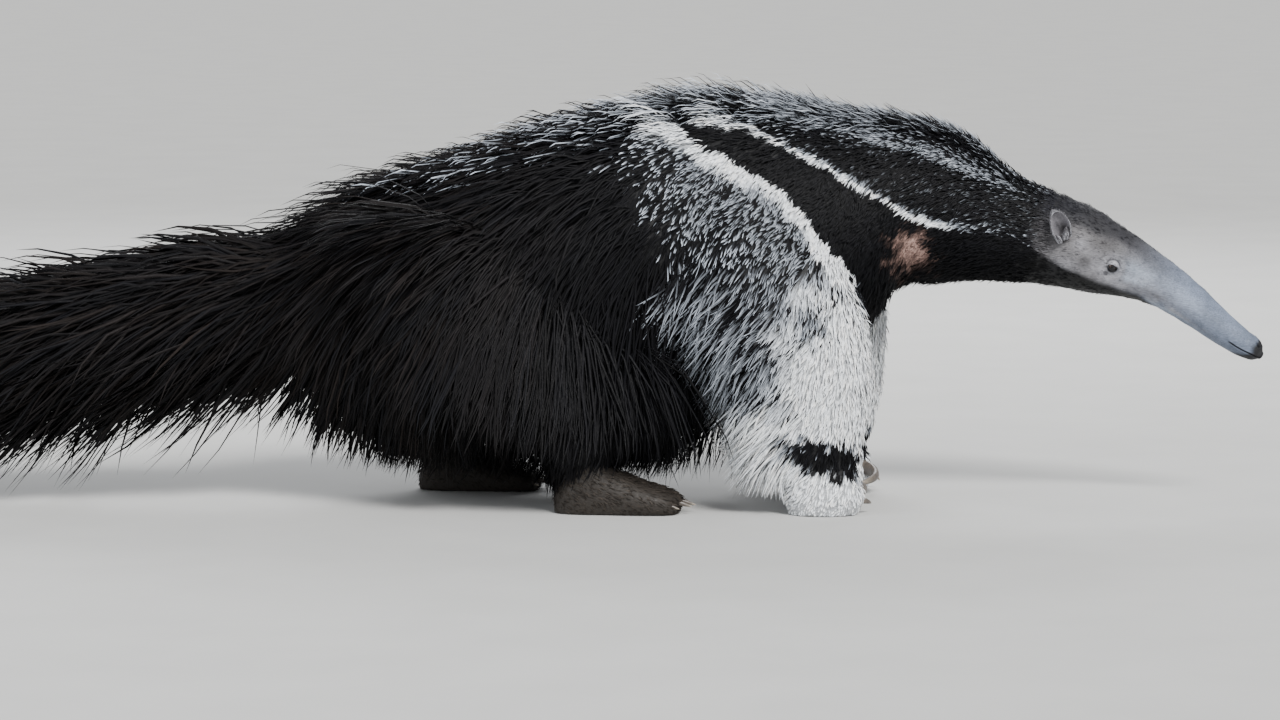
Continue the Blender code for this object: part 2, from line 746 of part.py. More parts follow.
def tail_fan(coat):
    """The locks that spread from the tip of the tail."""
    for i, turn in enumerate(map(math.radians, steps(*FAN_TURNS))):
        lie = (-math.cos(turn), FAN_SPREAD * (i % 3 - 1), math.sin(turn))
        around = 180 if turn < math.radians(FAN_UNDER) else 0
        coat.add(trunk_point, TRUNK[-1][0] - 2, around, lie, FAN_LENGTH, FAN_WIDTH, 0.1, 1.0)


def coat_locks():
    coat = Coat()
    for part in (trunk_coat, skirts, leg_coat, tail_fan):
        part(coat)
    return coat.locks


def floor_block():
    """All that lies under the floor."""
    return region([((0, 0, FLOOR), (0, 0, 1))])


def coarser(made, triangles):
    """Takes out the edges that matter least, down to a number of triangles."""
    coarse = made.modifiers.new("coarse", "DECIMATE")
    coarse.ratio = triangles / sum(len(face.vertices) - 2 for face in made.data.polygons)
    return settle(made)


def body_core():
    """The trunk and the legs, run into each other smoothly."""
    core = trunk_surface()
    combined(core, "UNION", [leg_surface(name, leg) for name, leg in LEGS.items()])
    remesh = core.modifiers.new("remesh", "REMESH")
    remesh.mode = "VOXEL"
    remesh.voxel_size = VOXEL
    smooth = core.modifiers.new("smooth", "SMOOTH")
    smooth.factor = 0.5
    smooth.iterations = SMOOTHING
    settle(core)
    return coarser(core, BODY_TRIANGLES)


def whole_figure():
    """The animal in one piece, with the openings of its face."""
    whole = body_core()
    parts = [head_surface()]
    for name, leg in LEGS.items():
        parts += foot_parts(name, leg)
    for side in (-1, 1):
        parts.append(eyeball("lids", side, GAP + LID))
    parts += coat_locks()
    combined(whole, "UNION", parts)
    largest_surface(whole)
    openings = [floor_block(), mouth()]
    for side in (-1, 1):
        openings += [eyeball("socket", side, GAP), eye_opening(side), nostril(side)]
    for name, leg in LEGS.items():
        shapes = FORECLAWS if leg["rows"] is FORELEG else HINDCLAWS
        openings += [claw(name, leg, shape, CLAW_GAP) for shape in shapes.values()]
    combined(whole, "DIFFERENCE", openings)
    return largest_surface(whole)


def leg_limits(side):
    """The plane that parts the top of a leg from the trunk, and the middle of the body."""
    out, up, way_out, way_up = LEG_TOPS
    return [((0, side * out, up), (0, side * way_out, way_up)), ((0, 0, 0), (0, -side, 0))]


def below(height):
    return [((0, 0, height), (0, 0, 1))]


def sleeve(leg, low, high, behind, outside=None):
    """Planes that keep the coat hanging round a lower leg out of that leg's node."""
    bottom, bottom_depth, bottom_width = leg_section(leg, low / HEIGHT * 100)
    top, top_depth, top_width = leg_section(leg, high / HEIGHT * 100)
    lower = bottom.x - bottom_depth - behind[0]
    upper = top.x - top_depth - behind[1]
    limits = [((upper, 0, high), (low - high, 0, upper - lower))]
    if outside:
        side = leg["side"]
        slope = (top.y - bottom.y) * side + top_width - bottom_width
        out = side * (bottom.y * side + bottom_width + outside)
        limits.append(((0, out, low), (0, side * (high - low), -slope)))
    return limits


def wedge(start):
    """The tail behind a place, parted along the lie of its coat."""
    along = (NOSE_X - start) / HEAD_AND_BODY * 100
    centre = trunk_section(along)[0]
    return [(centre, UNDER_COAT_LIE), (centre, UPPER_COAT_LIE)]


def parted(whole):
    """The figure's nodes, cut from it one after the other."""
    forward = [((BETWEEN_LEGS, 0, 0), (-1, 0, 0))]
    rearward = [((BETWEEN_LEGS, 0, 0), (1, 0, 0))]
    front_feet = [((BETWEEN_FEET, 0, 0), (-1, 0, 0))]
    rear_feet = [((BETWEEN_FEET, 0, 0), (1, 0, 0))]
    nodes = [carved(whole, "head", [BEHIND_EARS]), carved(whole, "neck", [BEFORE_CHEST])]
    for name, start in zip(("tail_tip", "tail_middle", "tail_root"), TAIL_STARTS[::-1]):
        nodes.append(carved(whole, name, wedge(start)))
    for side, word in ((-1, "right"), (1, "left")):
        tops, fore, hind = leg_limits(side), LEGS[f"fore_{word}"], LEGS[f"hind_{word}"]
        for name, limits, height in (
            ("forefoot", front_feet, WRIST),
            ("hindfoot", rear_feet, ANKLE),
            ("forearm", forward + sleeve(fore, WRIST, ELBOW, FOREARM_COAT), ELBOW),
            ("shank", rearward + sleeve(hind, ANKLE, KNEE, SHANK_COAT, SHANK_COAT[0]), KNEE),
            ("upper_arm", forward, 1),
            ("thigh", rearward, 1),
        ):
            nodes.append(carved(whole, f"{name}_{word}", tops + limits + below(height)))
    nodes.append(carved(whole, "chest", [MID_TRUNK]))
    whole.name = "hindquarters"
    nodes.append(largest_surface(whole))
    return nodes


def own_pieces():
    """The nodes that were never part of the flesh: eyes, ears and claws."""
    nodes = []
    for side, word in ((-1, "right"), (1, "left")):
        nodes.append(eyeball(f"eye_{word}", side))
        nodes.append(ear(f"ear_{word}", side))
    for name, leg in LEGS.items():
        shapes = FORECLAWS if leg["rows"] is FORELEG else HINDCLAWS
        for digit, shape in shapes.items():
            nodes.append(claw(f"claw_{name}_{digit}", leg, shape))
    return nodes


def material(name):
    colour, roughness = COLOURS[name]
    made = bpy.data.materials.get(name) or bpy.data.materials.new(name)
    made.use_nodes = True
    shader = made.node_tree.nodes["Principled BSDF"]
    shader.inputs["Base Color"].default_value = (*colour, 1)
    shader.inputs["Roughness"].default_value = roughness
    shader.inputs["Metallic"].default_value = 0.0
    return made


def material_of(name):
    for start, colour in (
        ("eye", "eye"),
        ("claw", "claw"),
        ("head", "face"),
        ("ear", "face"),
        ("forearm", "coat_white"),
        ("upper_arm", "coat_grizzled"),
        ("neck", "coat_grizzled"),
    ):
        if name.startswith(start):
            return material(colour)
    return material("coat_black")


def main():
    for old in list(bpy.data.objects):
        bpy.data.objects.remove(old)
    nodes = parted(whole_figure()) + own_pieces()
    bpy.context.view_layer.update()
    corners = [point for node in nodes for point in (v.co for v in node.data.vertices)]
    middle_x = (max(p.x for p in corners) + min(p.x for p in corners)) / 2
    middle_y = (max(p.y for p in corners) + min(p.y for p in corners)) / 2
    root = bpy.data.objects.new("anteater", None)
    bpy.context.scene.collection.objects.link(root)
    for node in nodes:
        node.data.transform(Matrix.Translation((-middle_x, -middle_y, 0)))
        node.parent = root
        node.data.materials.clear()
        node.data.materials.append(material_of(node.name))
        node.data.shade_smooth()
        node.data.set_sharp_from_angle(angle=math.radians(50))


main()
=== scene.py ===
"""The looks of a giant anteater in mid-stride, a still figure at life size.

Metres, +Z up. The sections of the body are those of the solids, worked out before the figure was
moved to its place over the origin, so every finished mesh is moved by the same step at the end.
One skin lies inside the solids by the depth of the coat, and tufts of hair rise from it.
"""

import math

from collections import namedtuple

import bmesh
import bpy
import numpy as np
from mathutils import Matrix, Vector
from mathutils.kdtree import KDTree


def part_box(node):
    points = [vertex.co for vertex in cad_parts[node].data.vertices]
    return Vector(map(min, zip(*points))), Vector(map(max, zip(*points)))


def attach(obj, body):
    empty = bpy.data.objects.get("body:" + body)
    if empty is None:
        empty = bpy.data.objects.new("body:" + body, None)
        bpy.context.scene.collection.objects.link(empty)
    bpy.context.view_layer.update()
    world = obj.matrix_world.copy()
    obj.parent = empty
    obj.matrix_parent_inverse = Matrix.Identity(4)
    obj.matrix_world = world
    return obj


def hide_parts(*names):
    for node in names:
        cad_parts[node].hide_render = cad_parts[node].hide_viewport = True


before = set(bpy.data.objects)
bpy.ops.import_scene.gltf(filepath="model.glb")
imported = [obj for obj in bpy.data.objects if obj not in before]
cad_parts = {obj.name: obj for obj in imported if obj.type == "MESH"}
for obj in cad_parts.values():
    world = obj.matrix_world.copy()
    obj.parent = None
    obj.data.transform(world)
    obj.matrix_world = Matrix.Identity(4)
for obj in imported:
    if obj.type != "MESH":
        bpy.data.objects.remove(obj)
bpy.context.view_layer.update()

# Sizes that the solids have too.
HEAD_AND_BODY = 1.125
HEIGHT = 0.53
NOSE_X = 0.583
TRUNK = (
    (0.0, 34.9, 1.1, 1.3, -34), (0.4, 35.6, 2.3, 2.6, -34), (0.9, 36.4, 2.9, 3.1, -34),
    (2.2, 38.0, 3.4, 3.6, -34), (4.0, 40.7, 3.8, 4.1, -36), (7.4, 46.4, 4.8, 4.9, -37),
    (10.7, 51.5, 5.6, 5.9, -34), (14.0, 55.8, 6.4, 7.0, -30), (17.2, 58.9, 7.8, 8.4, -28),
    (20.2, 61.2, 9.5, 9.4, -24), (22.9, 62.6, 10.6, 9.9, -20), (29.6, 65.9, 13.7, 11.6, -16),
    (35.2, 69.5, 17.9, 14.0, -10), (40.7, 71.3, 19.6, 16.6, 0), (45.2, 67.2, 24.7, 19.6, 4),
    (51.8, 64.7, 28.9, 22.6, 2), (62.9, 64.2, 31.1, 24.5, 0), (74.0, 61.0, 29.8, 25.8, 0),
    (85.2, 57.7, 24.7, 24.5, 4), (92.9, 56.2, 19.8, 20.4, 8), (99.8, 55.0, 13.6, 13.6, 12),
    (105.2, 53.2, 9.8, 8.5, 12), (122.9, 46.6, 7.5, 6.0, 11), (140.7, 39.6, 5.7, 4.5, 11),
    (158.5, 33.6, 3.8, 3.0, 9), (169.0, 31.2, 2.0, 1.8, 6),
)
TAIL_END = 169.0
NARROW_BACK = 0.12
HEAD_END = 27.0
TRUNK_START = 19.0
HEAD_MEETS = 23.8
HEAD_TUCK = 0.007
FORELEG = (
    (78.0, 0.0, 11.0, 15.0, 9.0), (60.4, 2.3, 17.4, 19.0, 10.2), (44.3, 4.3, 20.6, 18.5, 10.2),
    (28.3, 3.9, 22.0, 15.1, 9.4), (17.0, 1.8, 22.6, 12.7, 8.2), (10.4, 0.5, 22.8, 10.3, 7.4),
    (6.5, 0.5, 22.8, 9.4, 7.0),
)
HINDLEG = (
    (66.0, 0.0, 13.0, 20.5, 11.0), (49.0, 2.3, 18.0, 22.6, 12.2), (34.0, 7.9, 21.4, 17.4, 10.6),
    (20.8, 4.2, 21.8, 11.7, 8.2), (11.3, 0.0, 21.4, 8.5, 6.8), (7.5, 0.0, 21.2, 8.0, 6.6),
)
LEGS = {
    "fore_right": {"rows": FORELEG, "side": -1, "top": -0.086, "foot": 0.020},
    "fore_left": {"rows": FORELEG, "side": 1, "top": -0.043, "foot": 0.042},
    "hind_right": {"rows": HINDLEG, "side": -1, "top": -0.400, "foot": -0.262},
    "hind_left": {"rows": HINDLEG, "side": 1, "top": -0.400, "foot": -0.440},
}
FIST = (
    (11.4, 0.0, 8.6, 6.5), (7.0, 1.0, 9.6, 7.7), (3.4, 1.7, 9.4, 8.0), (0.9, 1.5, 8.8, 7.5),
    (-0.9, 1.4, 8.4, 7.1),
)
SOLE = (
    (-8.4, 2.6, 5.0), (-6.0, 5.0, 9.4), (-1.0, 6.5, 14.0), (5.5, 7.4, 11.0), (12.5, 8.2, 8.0),
    (18.0, 8.0, 6.2), (20.2, 6.2, 4.6),
)
EYE_ALONG, EYE_AROUND = 16.6, 106.0
EYE_RADIUS, EYE_SUNK = 0.0084, 0.0062
EAR_ALONG, EAR_AROUND = 22.6, 88.0
EAR_HEIGHT, EAR_WIDTH, EAR_THICKNESS = 0.050, 0.031, 0.015
NOSTRIL_ALONG, NOSTRIL_AROUND = 0.75, 62.0
MOUTH_END, MOUTH_BELOW = 3.4, 0.42
FORECLAWS = {
    "third": (0.036, 0.016, 0.032, 0.092, 0.0098, 32, 150, 0.018),
    "second": (0.026, 0.026, 0.044, 0.060, 0.0072, 66, 130, 0.004),
    "fourth": (0.046, -0.008, 0.020, 0.032, 0.0052, 8, 80, 0.009),
}
HINDCLAWS = {
    "first": (0.092, 0.030, 0.014, 0.020, 0.0038, 8, -4, 0.006),
    "second": (0.104, 0.016, 0.016, 0.024, 0.0043, 4, -4, 0.007),
    "third": (0.108, 0.000, 0.016, 0.025, 0.0044, 0, 0, 0.007),
    "fourth": (0.104, -0.016, 0.016, 0.024, 0.0042, -4, 4, 0.007),
    "fifth": (0.092, -0.030, 0.014, 0.020, 0.0038, -8, 4, 0.006),
}
CLAW_FLATNESS = 0.78
TOE = (0.020, 0.0098, 0.0135)
KNUCKLE = (0.017, 0.0125, 0.016)

# How deep the skin lies under the solids' surface: place behind the nose, then over the back,
# on the side and below, in metres.
INSET = (
    (0.0, 0.0004, 0.0004, 0.0004), (3.0, 0.0008, 0.0008, 0.0008), (18.0, 0.0014, 0.0014, 0.0014),
    (23.0, 0.0026, 0.0024, 0.0030), (30.0, 0.0070, 0.0050, 0.0055), (40.0, 0.0085, 0.0060, 0.0080),
    (50.0, 0.0100, 0.0065, 0.0120), (60.0, 0.0110, 0.0080, 0.0160), (68.0, 0.0120, 0.0130, 0.0170),
    (76.0, 0.0130, 0.0170, 0.0180), (92.0, 0.0140, 0.0180, 0.0180), (104.0, 0.0100, 0.0120, 0.0120),
    (130.0, 0.0080, 0.0090, 0.0090), (169.0, 0.0040, 0.0040, 0.0040),
)
FORELEG_INSET, HINDLEG_INSET, FOOT_INSET = 0.0060, 0.0110, 0.0025
# How much lower the throat hangs than the solids' underside: place behind the nose, then metres.
THROAT = (
    (8.0, 0.0000), (10.5, 0.0012), (12.5, 0.0050), (14.5, 0.0102), (16.5, 0.0134), (18.5, 0.0124),
    (20.5, 0.0096), (23.0, 0.0064), (27.0, 0.0030), (32.0, 0.0000),
)

UP = np.array((0.0, 0.0, 1.0))


def between(rows, place):
    """The rest of the row at each place, from a smooth curve through the rows."""
    rows = np.array(rows, float)
    if rows[0, 0] > rows[-1, 0]:
        rows = rows[::-1]
    at, values = rows[:, 0], rows[:, 1:]
    place = np.clip(np.asarray(place, float), at[0], at[-1])
    low = np.clip(np.searchsorted(at, place, side="right") - 1, 0, len(at) - 2)
    high = low + 1
    before, after = np.maximum(low - 1, 0), np.minimum(high + 1, len(at) - 1)
    span = (at[high] - at[low])[..., None]
    t = (place - at[low])[..., None] / span
    start, end = values[low], values[high]
    rise_in = (end - values[before]) / (at[high] - at[before])[..., None] * span
    rise_out = (values[after] - start) / (at[after] - at[low])[..., None] * span
    found = (
        (2 * t**3 - 3 * t**2 + 1) * start
        + (t**3 - 2 * t**2 + t) * rise_in
        + (3 * t**2 - 2 * t**3) * end
        + (t**3 - t**2) * rise_out
    )
    return np.moveaxis(found, -1, 0)


def line(rows, place):
    """Straight lines through rows of two numbers."""
    rows = np.array(rows, float)
    return np.interp(place, rows[:, 0], rows[:, 1])


def smooth(low, high, value):
    t = np.clip((value - low) / (high - low), 0, 1)
    return t * t * (3 - 2 * t)


def bell(value, middle, width):
    return np.exp(-(((value - middle) / width) ** 2))


def unit(vectors):
    return vectors / np.maximum(np.linalg.norm(vectors, axis=-1, keepdims=True), 1e-12)


def dot(one, other):
    return (one * other).sum(-1)


def part_of_height(percent):
    return percent / 100 * HEIGHT


def trunk_section(along):
    """Centres, upward and forward directions, half depths and half widths of the trunk."""
    along = np.asarray(along, float)
    height, depth, width, lean = between(TRUNK, along)
    lean = np.radians(lean)
    zero = np.zeros_like(along)
    centre = np.stack((NOSE_X - along / 100 * HEAD_AND_BODY, zero, part_of_height(height)), -1)
    up = np.stack((-np.sin(lean), zero, np.cos(lean)), -1)
    forward = np.stack((np.cos(lean), zero, np.sin(lean)), -1)
    return centre, up, forward, part_of_height(depth), part_of_height(width)


def trunk_point(along, around, inwards=0.0):
    """Points of the trunk. around turns from the back (0) by the left side (90)."""
    centre, up, _, depth, width = trunk_section(along)
    turn = np.radians(around)
    aside = width * np.sin(turn) * (1 - NARROW_BACK * np.cos(turn))
    out = up * (depth * np.cos(turn))[..., None]
    out = out + aside[..., None] * np.array((0.0, 1.0, 0.0))
    return centre + out - unit(out) * np.asarray(inwards)[..., None]


def trunk_place(points):
    """Where points lie on the trunk: along it and around it."""
    along = (NOSE_X - points[:, 0]) / HEAD_AND_BODY * 100
    for _ in range(4):
        along = np.clip(along, 0, TAIL_END)
        centre, _, forward = trunk_section(along)[:3]
        miss = dot(points - centre, forward)
        along = along - miss / (HEAD_AND_BODY / 100) * 0.8
    along = np.clip(along, 0, TAIL_END)
    centre, up, _, depth, width = trunk_section(along)
    high, aside = dot(points - centre, up) / depth, points[:, 1] / width
    return along, np.degrees(np.arctan2(aside, high))


def leg_section(leg, up):
    """Centres, half depths and half widths of a leg at heights in percent of HEIGHT."""
    rows = leg["rows"]
    up = np.asarray(up, float)
    bend, out, depth, width = part_of_height(between(rows, up))
    share = (rows[0][0] - up) / (rows[0][0] - rows[-1][0])
    forward = leg["top"] + (leg["foot"] - leg["top"]) * share + bend
    return np.stack((forward, leg["side"] * out, part_of_height(up)), -1), depth, width


def foot_out(leg):
    """How far a foot's middle lies from the body's."""
    return part_of_height(leg["rows"][-1][2])


def turns(count):
    return np.arange(count) * 360.0 / count


def linked(name, data):
    made = bpy.data.objects.new(name, data)
    bpy.context.scene.collection.objects.link(made)
    return made


def read(items, key, kind=np.float32):
    """Three numbers for each of a mesh's vertices or triangles, as the rows of an array."""
    values = np.empty(len(items) * 3, kind)
    items.foreach_get(key, values)
    return values.reshape(-1, 3)


def places_of(made):
    return read(made.data.vertices, "co").astype(float)


def painted(made, colours):
    """Gives an object its colours, one for each vertex."""
    tones = np.ones((len(made.data.vertices), 4), np.float32)
    tones[:, :3] = colours
    layer = made.data.color_attributes.new("Coat", "FLOAT_COLOR", "POINT")
    layer.data.foreach_set("color", tones.ravel())


def mesh_of(name, points, faces):
    """A new object from arrays of points and of triangles or quads."""
    mesh = bpy.data.meshes.new(name)
    sides = faces.shape[1]
    mesh.vertices.add(len(points))
    mesh.vertices.foreach_set("co", np.ascontiguousarray(points, np.float32).ravel())
    mesh.loops.add(faces.size)
    mesh.loops.foreach_set("vertex_index", np.ascontiguousarray(faces, np.int32).ravel())
    mesh.polygons.add(len(faces))
    mesh.polygons.foreach_set("loop_start", np.arange(0, faces.size, sides, dtype=np.int32))
    mesh.polygons.foreach_set("use_smooth", np.ones(len(faces), bool))
    mesh.update(calc_edges=True)
    mesh.validate()
    return linked(name, mesh)


def object_of(name, shape):
    """A new object, shaded smooth, from a shape that is then freed."""
    for face in shape.faces:
        face.smooth = True
    mesh = bpy.data.meshes.new(name)
    shape.to_mesh(mesh)
    shape.free()
    return linked(name, mesh)


def loft(name, rings):
    """A closed surface over an array of rings of points, with a point in each end's middle."""
    count, sides = rings.shape[:2]
    shape = bmesh.new()
    rows = [[shape.verts.new(point) for point in ring] for ring in rings.tolist()]
    for low, high in zip(rows, rows[1:]):
        for i in range(sides):
            j = (i + 1) % sides
            shape.faces.new((low[i], low[j], high[j], high[i]))
    for k in (0, count - 1):
        middle = shape.verts.new(rings[k].mean(0).tolist())
        for i in range(sides):
            shape.faces.new((rows[k][i], rows[k][(i + 1) % sides], middle))
    bmesh.ops.recalc_face_normals(shape, faces=shape.faces)
    return object_of(name, shape)


def in_order(shape):
    """A copy of a shape on the same points, whose faces come in the same order on every run."""
    shape.verts.index_update()
    rows = []
    for face in shape.faces:
        around = [point.index for point in face.verts]
        first = around.index(min(around))
        rows.append(around[first:] + around[:first])
    made = bmesh.new()
    points = [made.verts.new(point.co) for point in shape.verts]
    for row in sorted(rows):
        made.faces.new([points[i] for i in row])
    shape.free()
    return made


def ellipsoid(name, centre, radii, turn, rings=16, sides=24):
    shape = bmesh.new()
    bmesh.ops.create_uvsphere(shape, u_segments=sides, v_segments=rings, radius=1.0)
    matrix = Matrix.Translation(centre) @ turn @ Matrix.Diagonal((*radii, 1.0))
    bmesh.ops.transform(shape, matrix=matrix, verts=shape.verts)
    return object_of(name, in_order(shape))


def facing(forward, up):
    """A turn that takes X to forward and Z as near to up as it can."""
    forward = Vector(forward).normalized()
    left = Vector(up).cross(forward).normalized()
    top = forward.cross(left)
    return Matrix((forward, left, top)).transposed().to_4x4()


def settle(made):
    """Replaces an object's mesh by what its modifiers make of it."""
    graph = bpy.context.evaluated_depsgraph_get()
    mesh = bpy.data.meshes.new_from_object(made.evaluated_get(graph))
    made.modifiers.clear()
    old, made.data = made.data, mesh
    bpy.data.meshes.remove(old)
    return made


def united(made, others):
    """Joins other closed objects to one and removes them."""
    group = bpy.data.collections.new("others")
    bpy.context.scene.collection.children.link(group)
    for other in others:
        group.objects.link(other)
    joint = made.modifiers.new("union", "BOOLEAN")
    joint.operation = "UNION"
    joint.solver = "MANIFOLD"
    joint.operand_type = "COLLECTION"
    joint.collection = group
    settle(made)
    for other in others:
        mesh = other.data
        bpy.data.objects.remove(other)
        bpy.data.meshes.remove(mesh)
    bpy.data.collections.remove(group)
    return made


def by_turn(columns, turn):
    """Blends what holds over the back, on the side and below."""
    back, flank, below = columns
    high = smooth(12, 72, turn)
    low = smooth(100, 160, turn)
    return back * (1 - high) + flank * high * (1 - low) + below * low


def signed_turn(around):
    """A turn round the trunk from -180 on the right to 180 on the left, with 0 over the back."""
    return (around + 180) % 360 - 180


def throat(along, around):
    """How far the throat hangs below the solids."""
    return between(THROAT, along)[0] * smooth(104, 158, np.abs(signed_turn(around)))


def inset(along, around):
    """How deep the skin lies under the solids."""
    return by_turn(between(INSET, along), np.abs(signed_turn(around))) - throat(along, around)


class Waves:
    """A smooth random field, from a few waves in random directions."""

    def __init__(self, seed, length, count=7):
        draw = np.random.default_rng(seed)
        self.ways = unit(draw.normal(size=(count, 3))) * (2 * math.pi / length)
        self.ways *= draw.uniform(0.7, 1.4, (count, 1))
        self.phases = draw.uniform(0, 2 * math.pi, count)

    def at(self, points):
        return np.sin(points @ self.ways.T + self.phases).sum(-1) / math.sqrt(len(self.phases))


# The skin.


def eye_place(side):
    """Centre of an eye, the way it looks, the way to the nose across it, and the way up."""
    step = 0.5

    def here(a, t):
        return trunk_point(np.array(a), np.array(t))

    around = side * EYE_AROUND
    one = here(EYE_ALONG + step, around) - here(EYE_ALONG - step, around)
    other = here(EYE_ALONG, around + step) - here(EYE_ALONG, around - step)
    out = unit(np.cross(one, other))
    if dot(out, here(EYE_ALONG, around) - here(EYE_ALONG, around + 180)) < 0:
        out = -out
    front = unit(-one - out * dot(-one, out))
    top = np.cross(out, front)
    top = top if top[2] > 0 else -top
    return here(EYE_ALONG, around) - out * EYE_SUNK, out, front, top


LID_RADIUS = EYE_RADIUS + 0.0013
OPENING = (0.0064, 0.0034, 0.0029)  # half length, height above and below its line
OPENING_TILT = -0.22  # radians that the corner towards the nose lies lower
# The lids' edge and the folds round them: how far each stands out above the opening and below
# it, its distance from the opening's edge and its width.
LID_FOLDS = (
    (0.00045, 0.00045, 0.0007, 0.0006),
    (-0.0009, -0.0005, 0.0033, 0.0008),
    (0.0009, 0.0003, 0.0056, 0.0015),
    (-0.0004, 0.0, 0.0085, 0.0010),
)


def with_lids(points, side):
    """Raises the skin over an eyeball, with an opening between two lids and folds round it."""
    centre, out, front, top = eye_place(side)
    apart = points - centre
    across, high, deep = dot(apart, front), dot(apart, top), dot(apart, out)
    radius = np.hypot(across, high)
    near = (radius < 0.024) & (deep > -0.006)
    tilt_cos, tilt_sin = math.cos(OPENING_TILT), math.sin(OPENING_TILT)
    u = across * tilt_cos + high * tilt_sin
    v = -across * tilt_sin + high * tilt_cos
    lid = np.sqrt(np.maximum(LID_RADIUS**2 - radius**2, 0))
    raised = 0.5 * (deep + lid + np.sqrt((deep - lid) ** 2 + 0.0016**2)) - 0.0004
    weight = 1 - smooth(0.0105, 0.0165, radius)
    new = deep + (raised - deep) * weight
    half, above, below = OPENING
    arch = 1 - np.clip(u / half, -1.6, 1.6) ** 2
    gap = np.maximum(v - above * arch, -v - below * arch)
    for over, under, place, width in LID_FOLDS:
        new = new + weight * np.where(v > 0, over, under) * bell(gap, place, width)
    behind = np.sqrt(np.maximum((EYE_RADIUS - 0.0014) ** 2 - radius**2, 0))
    inside = 1 - smooth(-0.00045, 0.00025, gap)
    new = np.where(near, new + (behind - new) * inside * weight, deep)
    return points + out * (new - deep)[..., None]


def spaced(stops):
    """Places from the first stop to the last, each stretch with a spacing of its own."""
    places = []
    for (start, step), (end, _) in zip(stops, stops[1:]):
        count = max(1, round((end - start) / step))
        places.append(start + (end - start) * np.arange(count) / count)
    return np.concatenate(places + [np.array([stops[-1][0]])])


HEAD_STEPS = ((0.0, 0.07), (4.2, 0.20), (13.9, 0.062), (19.4, 0.20), (27.0, 0.0))
HEAD_TURNS = ((0.0, 3.0), (80.0, 1.0), (132.0, 2.4), (180.0, 0.0))
NOSE_DOME, NOSE_BULGE = 5, 0.0032  # rings that close the nose, and how far they stand out
# Soft forms of the head: how far each stands out, its place and length, its turn and width.
HEAD_FORMS = (
    (0.0016, 20.5, 2.6, 122, 20),  # jaw
    (0.0012, 17.0, 2.2, 78, 12),  # brow
    (-0.0011, 13.2, 1.8, 98, 14),  # hollow before the eye
    (-0.0009, 20.0, 2.0, 92, 10),  # temple
)


def mouth(a, high):
    """How far the lips stand out round their slit and its corner, by the height over the slit."""
    reach = 1 - smooth(MOUTH_END - 0.6, MOUTH_END + 0.15, a)
    grow = -0.0026 * bell(high, 0, 0.00055) * reach
    grow += 0.0006 * bell(np.abs(high), 0.0016, 0.0009) * reach
    return grow - 0.0008 * bell(a, MOUTH_END + 0.2, 0.35) * bell(high, 0, 0.0025)


def nostril(points, forward, up, side):
    """How far a nostril's comma goes in, and how far its rim stands out."""
    apart = points - trunk_point(np.array(NOSTRIL_ALONG), np.array(side * NOSTRIL_AROUND))
    back, rise = -dot(apart, forward), dot(apart, up)
    sweep = rise - 0.35 * back - 90 * back**2
    size = np.hypot(back / 0.0042, sweep / 0.0016)
    return -0.0034 * np.exp(-(size**4)), 0.0006 * bell(size, 1.7, 0.5)


def nose_dome(ring):
    """Rings that close the nose in front of the head's first ring."""
    middle, _, forward = trunk_section(np.array(0.0))[:3]
    rings = []
    for i in range(NOSE_DOME, 0, -1):
        turn = math.pi / 2 * i / (NOSE_DOME + 0.5)
        bulge = forward * NOSE_BULGE * math.sin(turn)
        rings.append(middle + (ring - middle) * math.cos(turn) + bulge)
    return np.stack(rings)


def head_grid():
    """The head's points, ring by ring from the nose, with its openings and folds."""
    half = spaced(HEAD_TURNS)
    around = np.concatenate((half[:-1], 360 - half[:0:-1]))
    a, t = np.meshgrid(spaced(HEAD_STEPS), around, indexing="ij")
    tuck = HEAD_TUCK * np.clip((a - HEAD_MEETS) / (HEAD_END - HEAD_MEETS), 0, 1)
    points = trunk_point(a, t, inset(a, t) + tuck)
    centre, up, forward, depth, _ = trunk_section(a)
    out = unit(points - centre)
    signed = signed_turn(t)
    side_turn = np.abs(signed)
    grow = mouth(a, dot(points - centre, up) + depth * MOUTH_BELOW)
    for side in (-1, 1):
        for part in nostril(points, forward, up, side):
            grow += (signed * side > 0) * part
    # a shallow furrow behind the bare nose pad, and the line down its middle
    grow -= 0.0005 * bell(a, 2.1, 0.22) * (side_turn < 110)
    grow -= 0.0007 * bell(signed, 0, 5) * (1 - smooth(0.5, 1.3, a))
    for size, place, length, turn, width in HEAD_FORMS:
        grow += size * bell(a, place, length) * bell(side_turn, turn, width)
    # soft unevenness of the flesh, and fine creases behind the mouth and below the eye
    grow += 0.00035 * Waves(3, 0.030).at(points) * smooth(1.5, 4, a)
    crease = np.sin(a * 9 + 0.05 * side_turn + 1.2 * Waves(5, 0.02).at(points))
    grow += 0.00014 * crease * bell(a, 6.0, 2.0) * bell(side_turn, 120, 35)
    points = points + out * grow[..., None]
    for side in (-1, 1):
        points = with_lids(points, side)
    return np.concatenate((nose_dome(points[0]), points))


def leg_rings(leg, rings=40, sides=36):
    up = np.linspace(leg["rows"][0][0], leg["rows"][-1][0], rings)
    centre, depth, width = leg_section(leg, up)
    turn = np.radians(turns(sides))
    under = FORELEG_INSET if leg["rows"] is FORELEG else HINDLEG_INSET
    depth, width = depth - under, width - under
    ahead = depth[:, None] * np.cos(turn)
    out = leg["side"] * width[:, None] * np.sin(turn)
    return centre[:, None] + np.stack((ahead, out, np.zeros_like(ahead)), -1)


SOLE_MIDDLE = 0.36  # the share of a hind foot's height at which it is widest


def rounded(value, power=0.8):
    """Makes an ellipse squarer."""
    return np.copysign(np.abs(value) ** power, value)


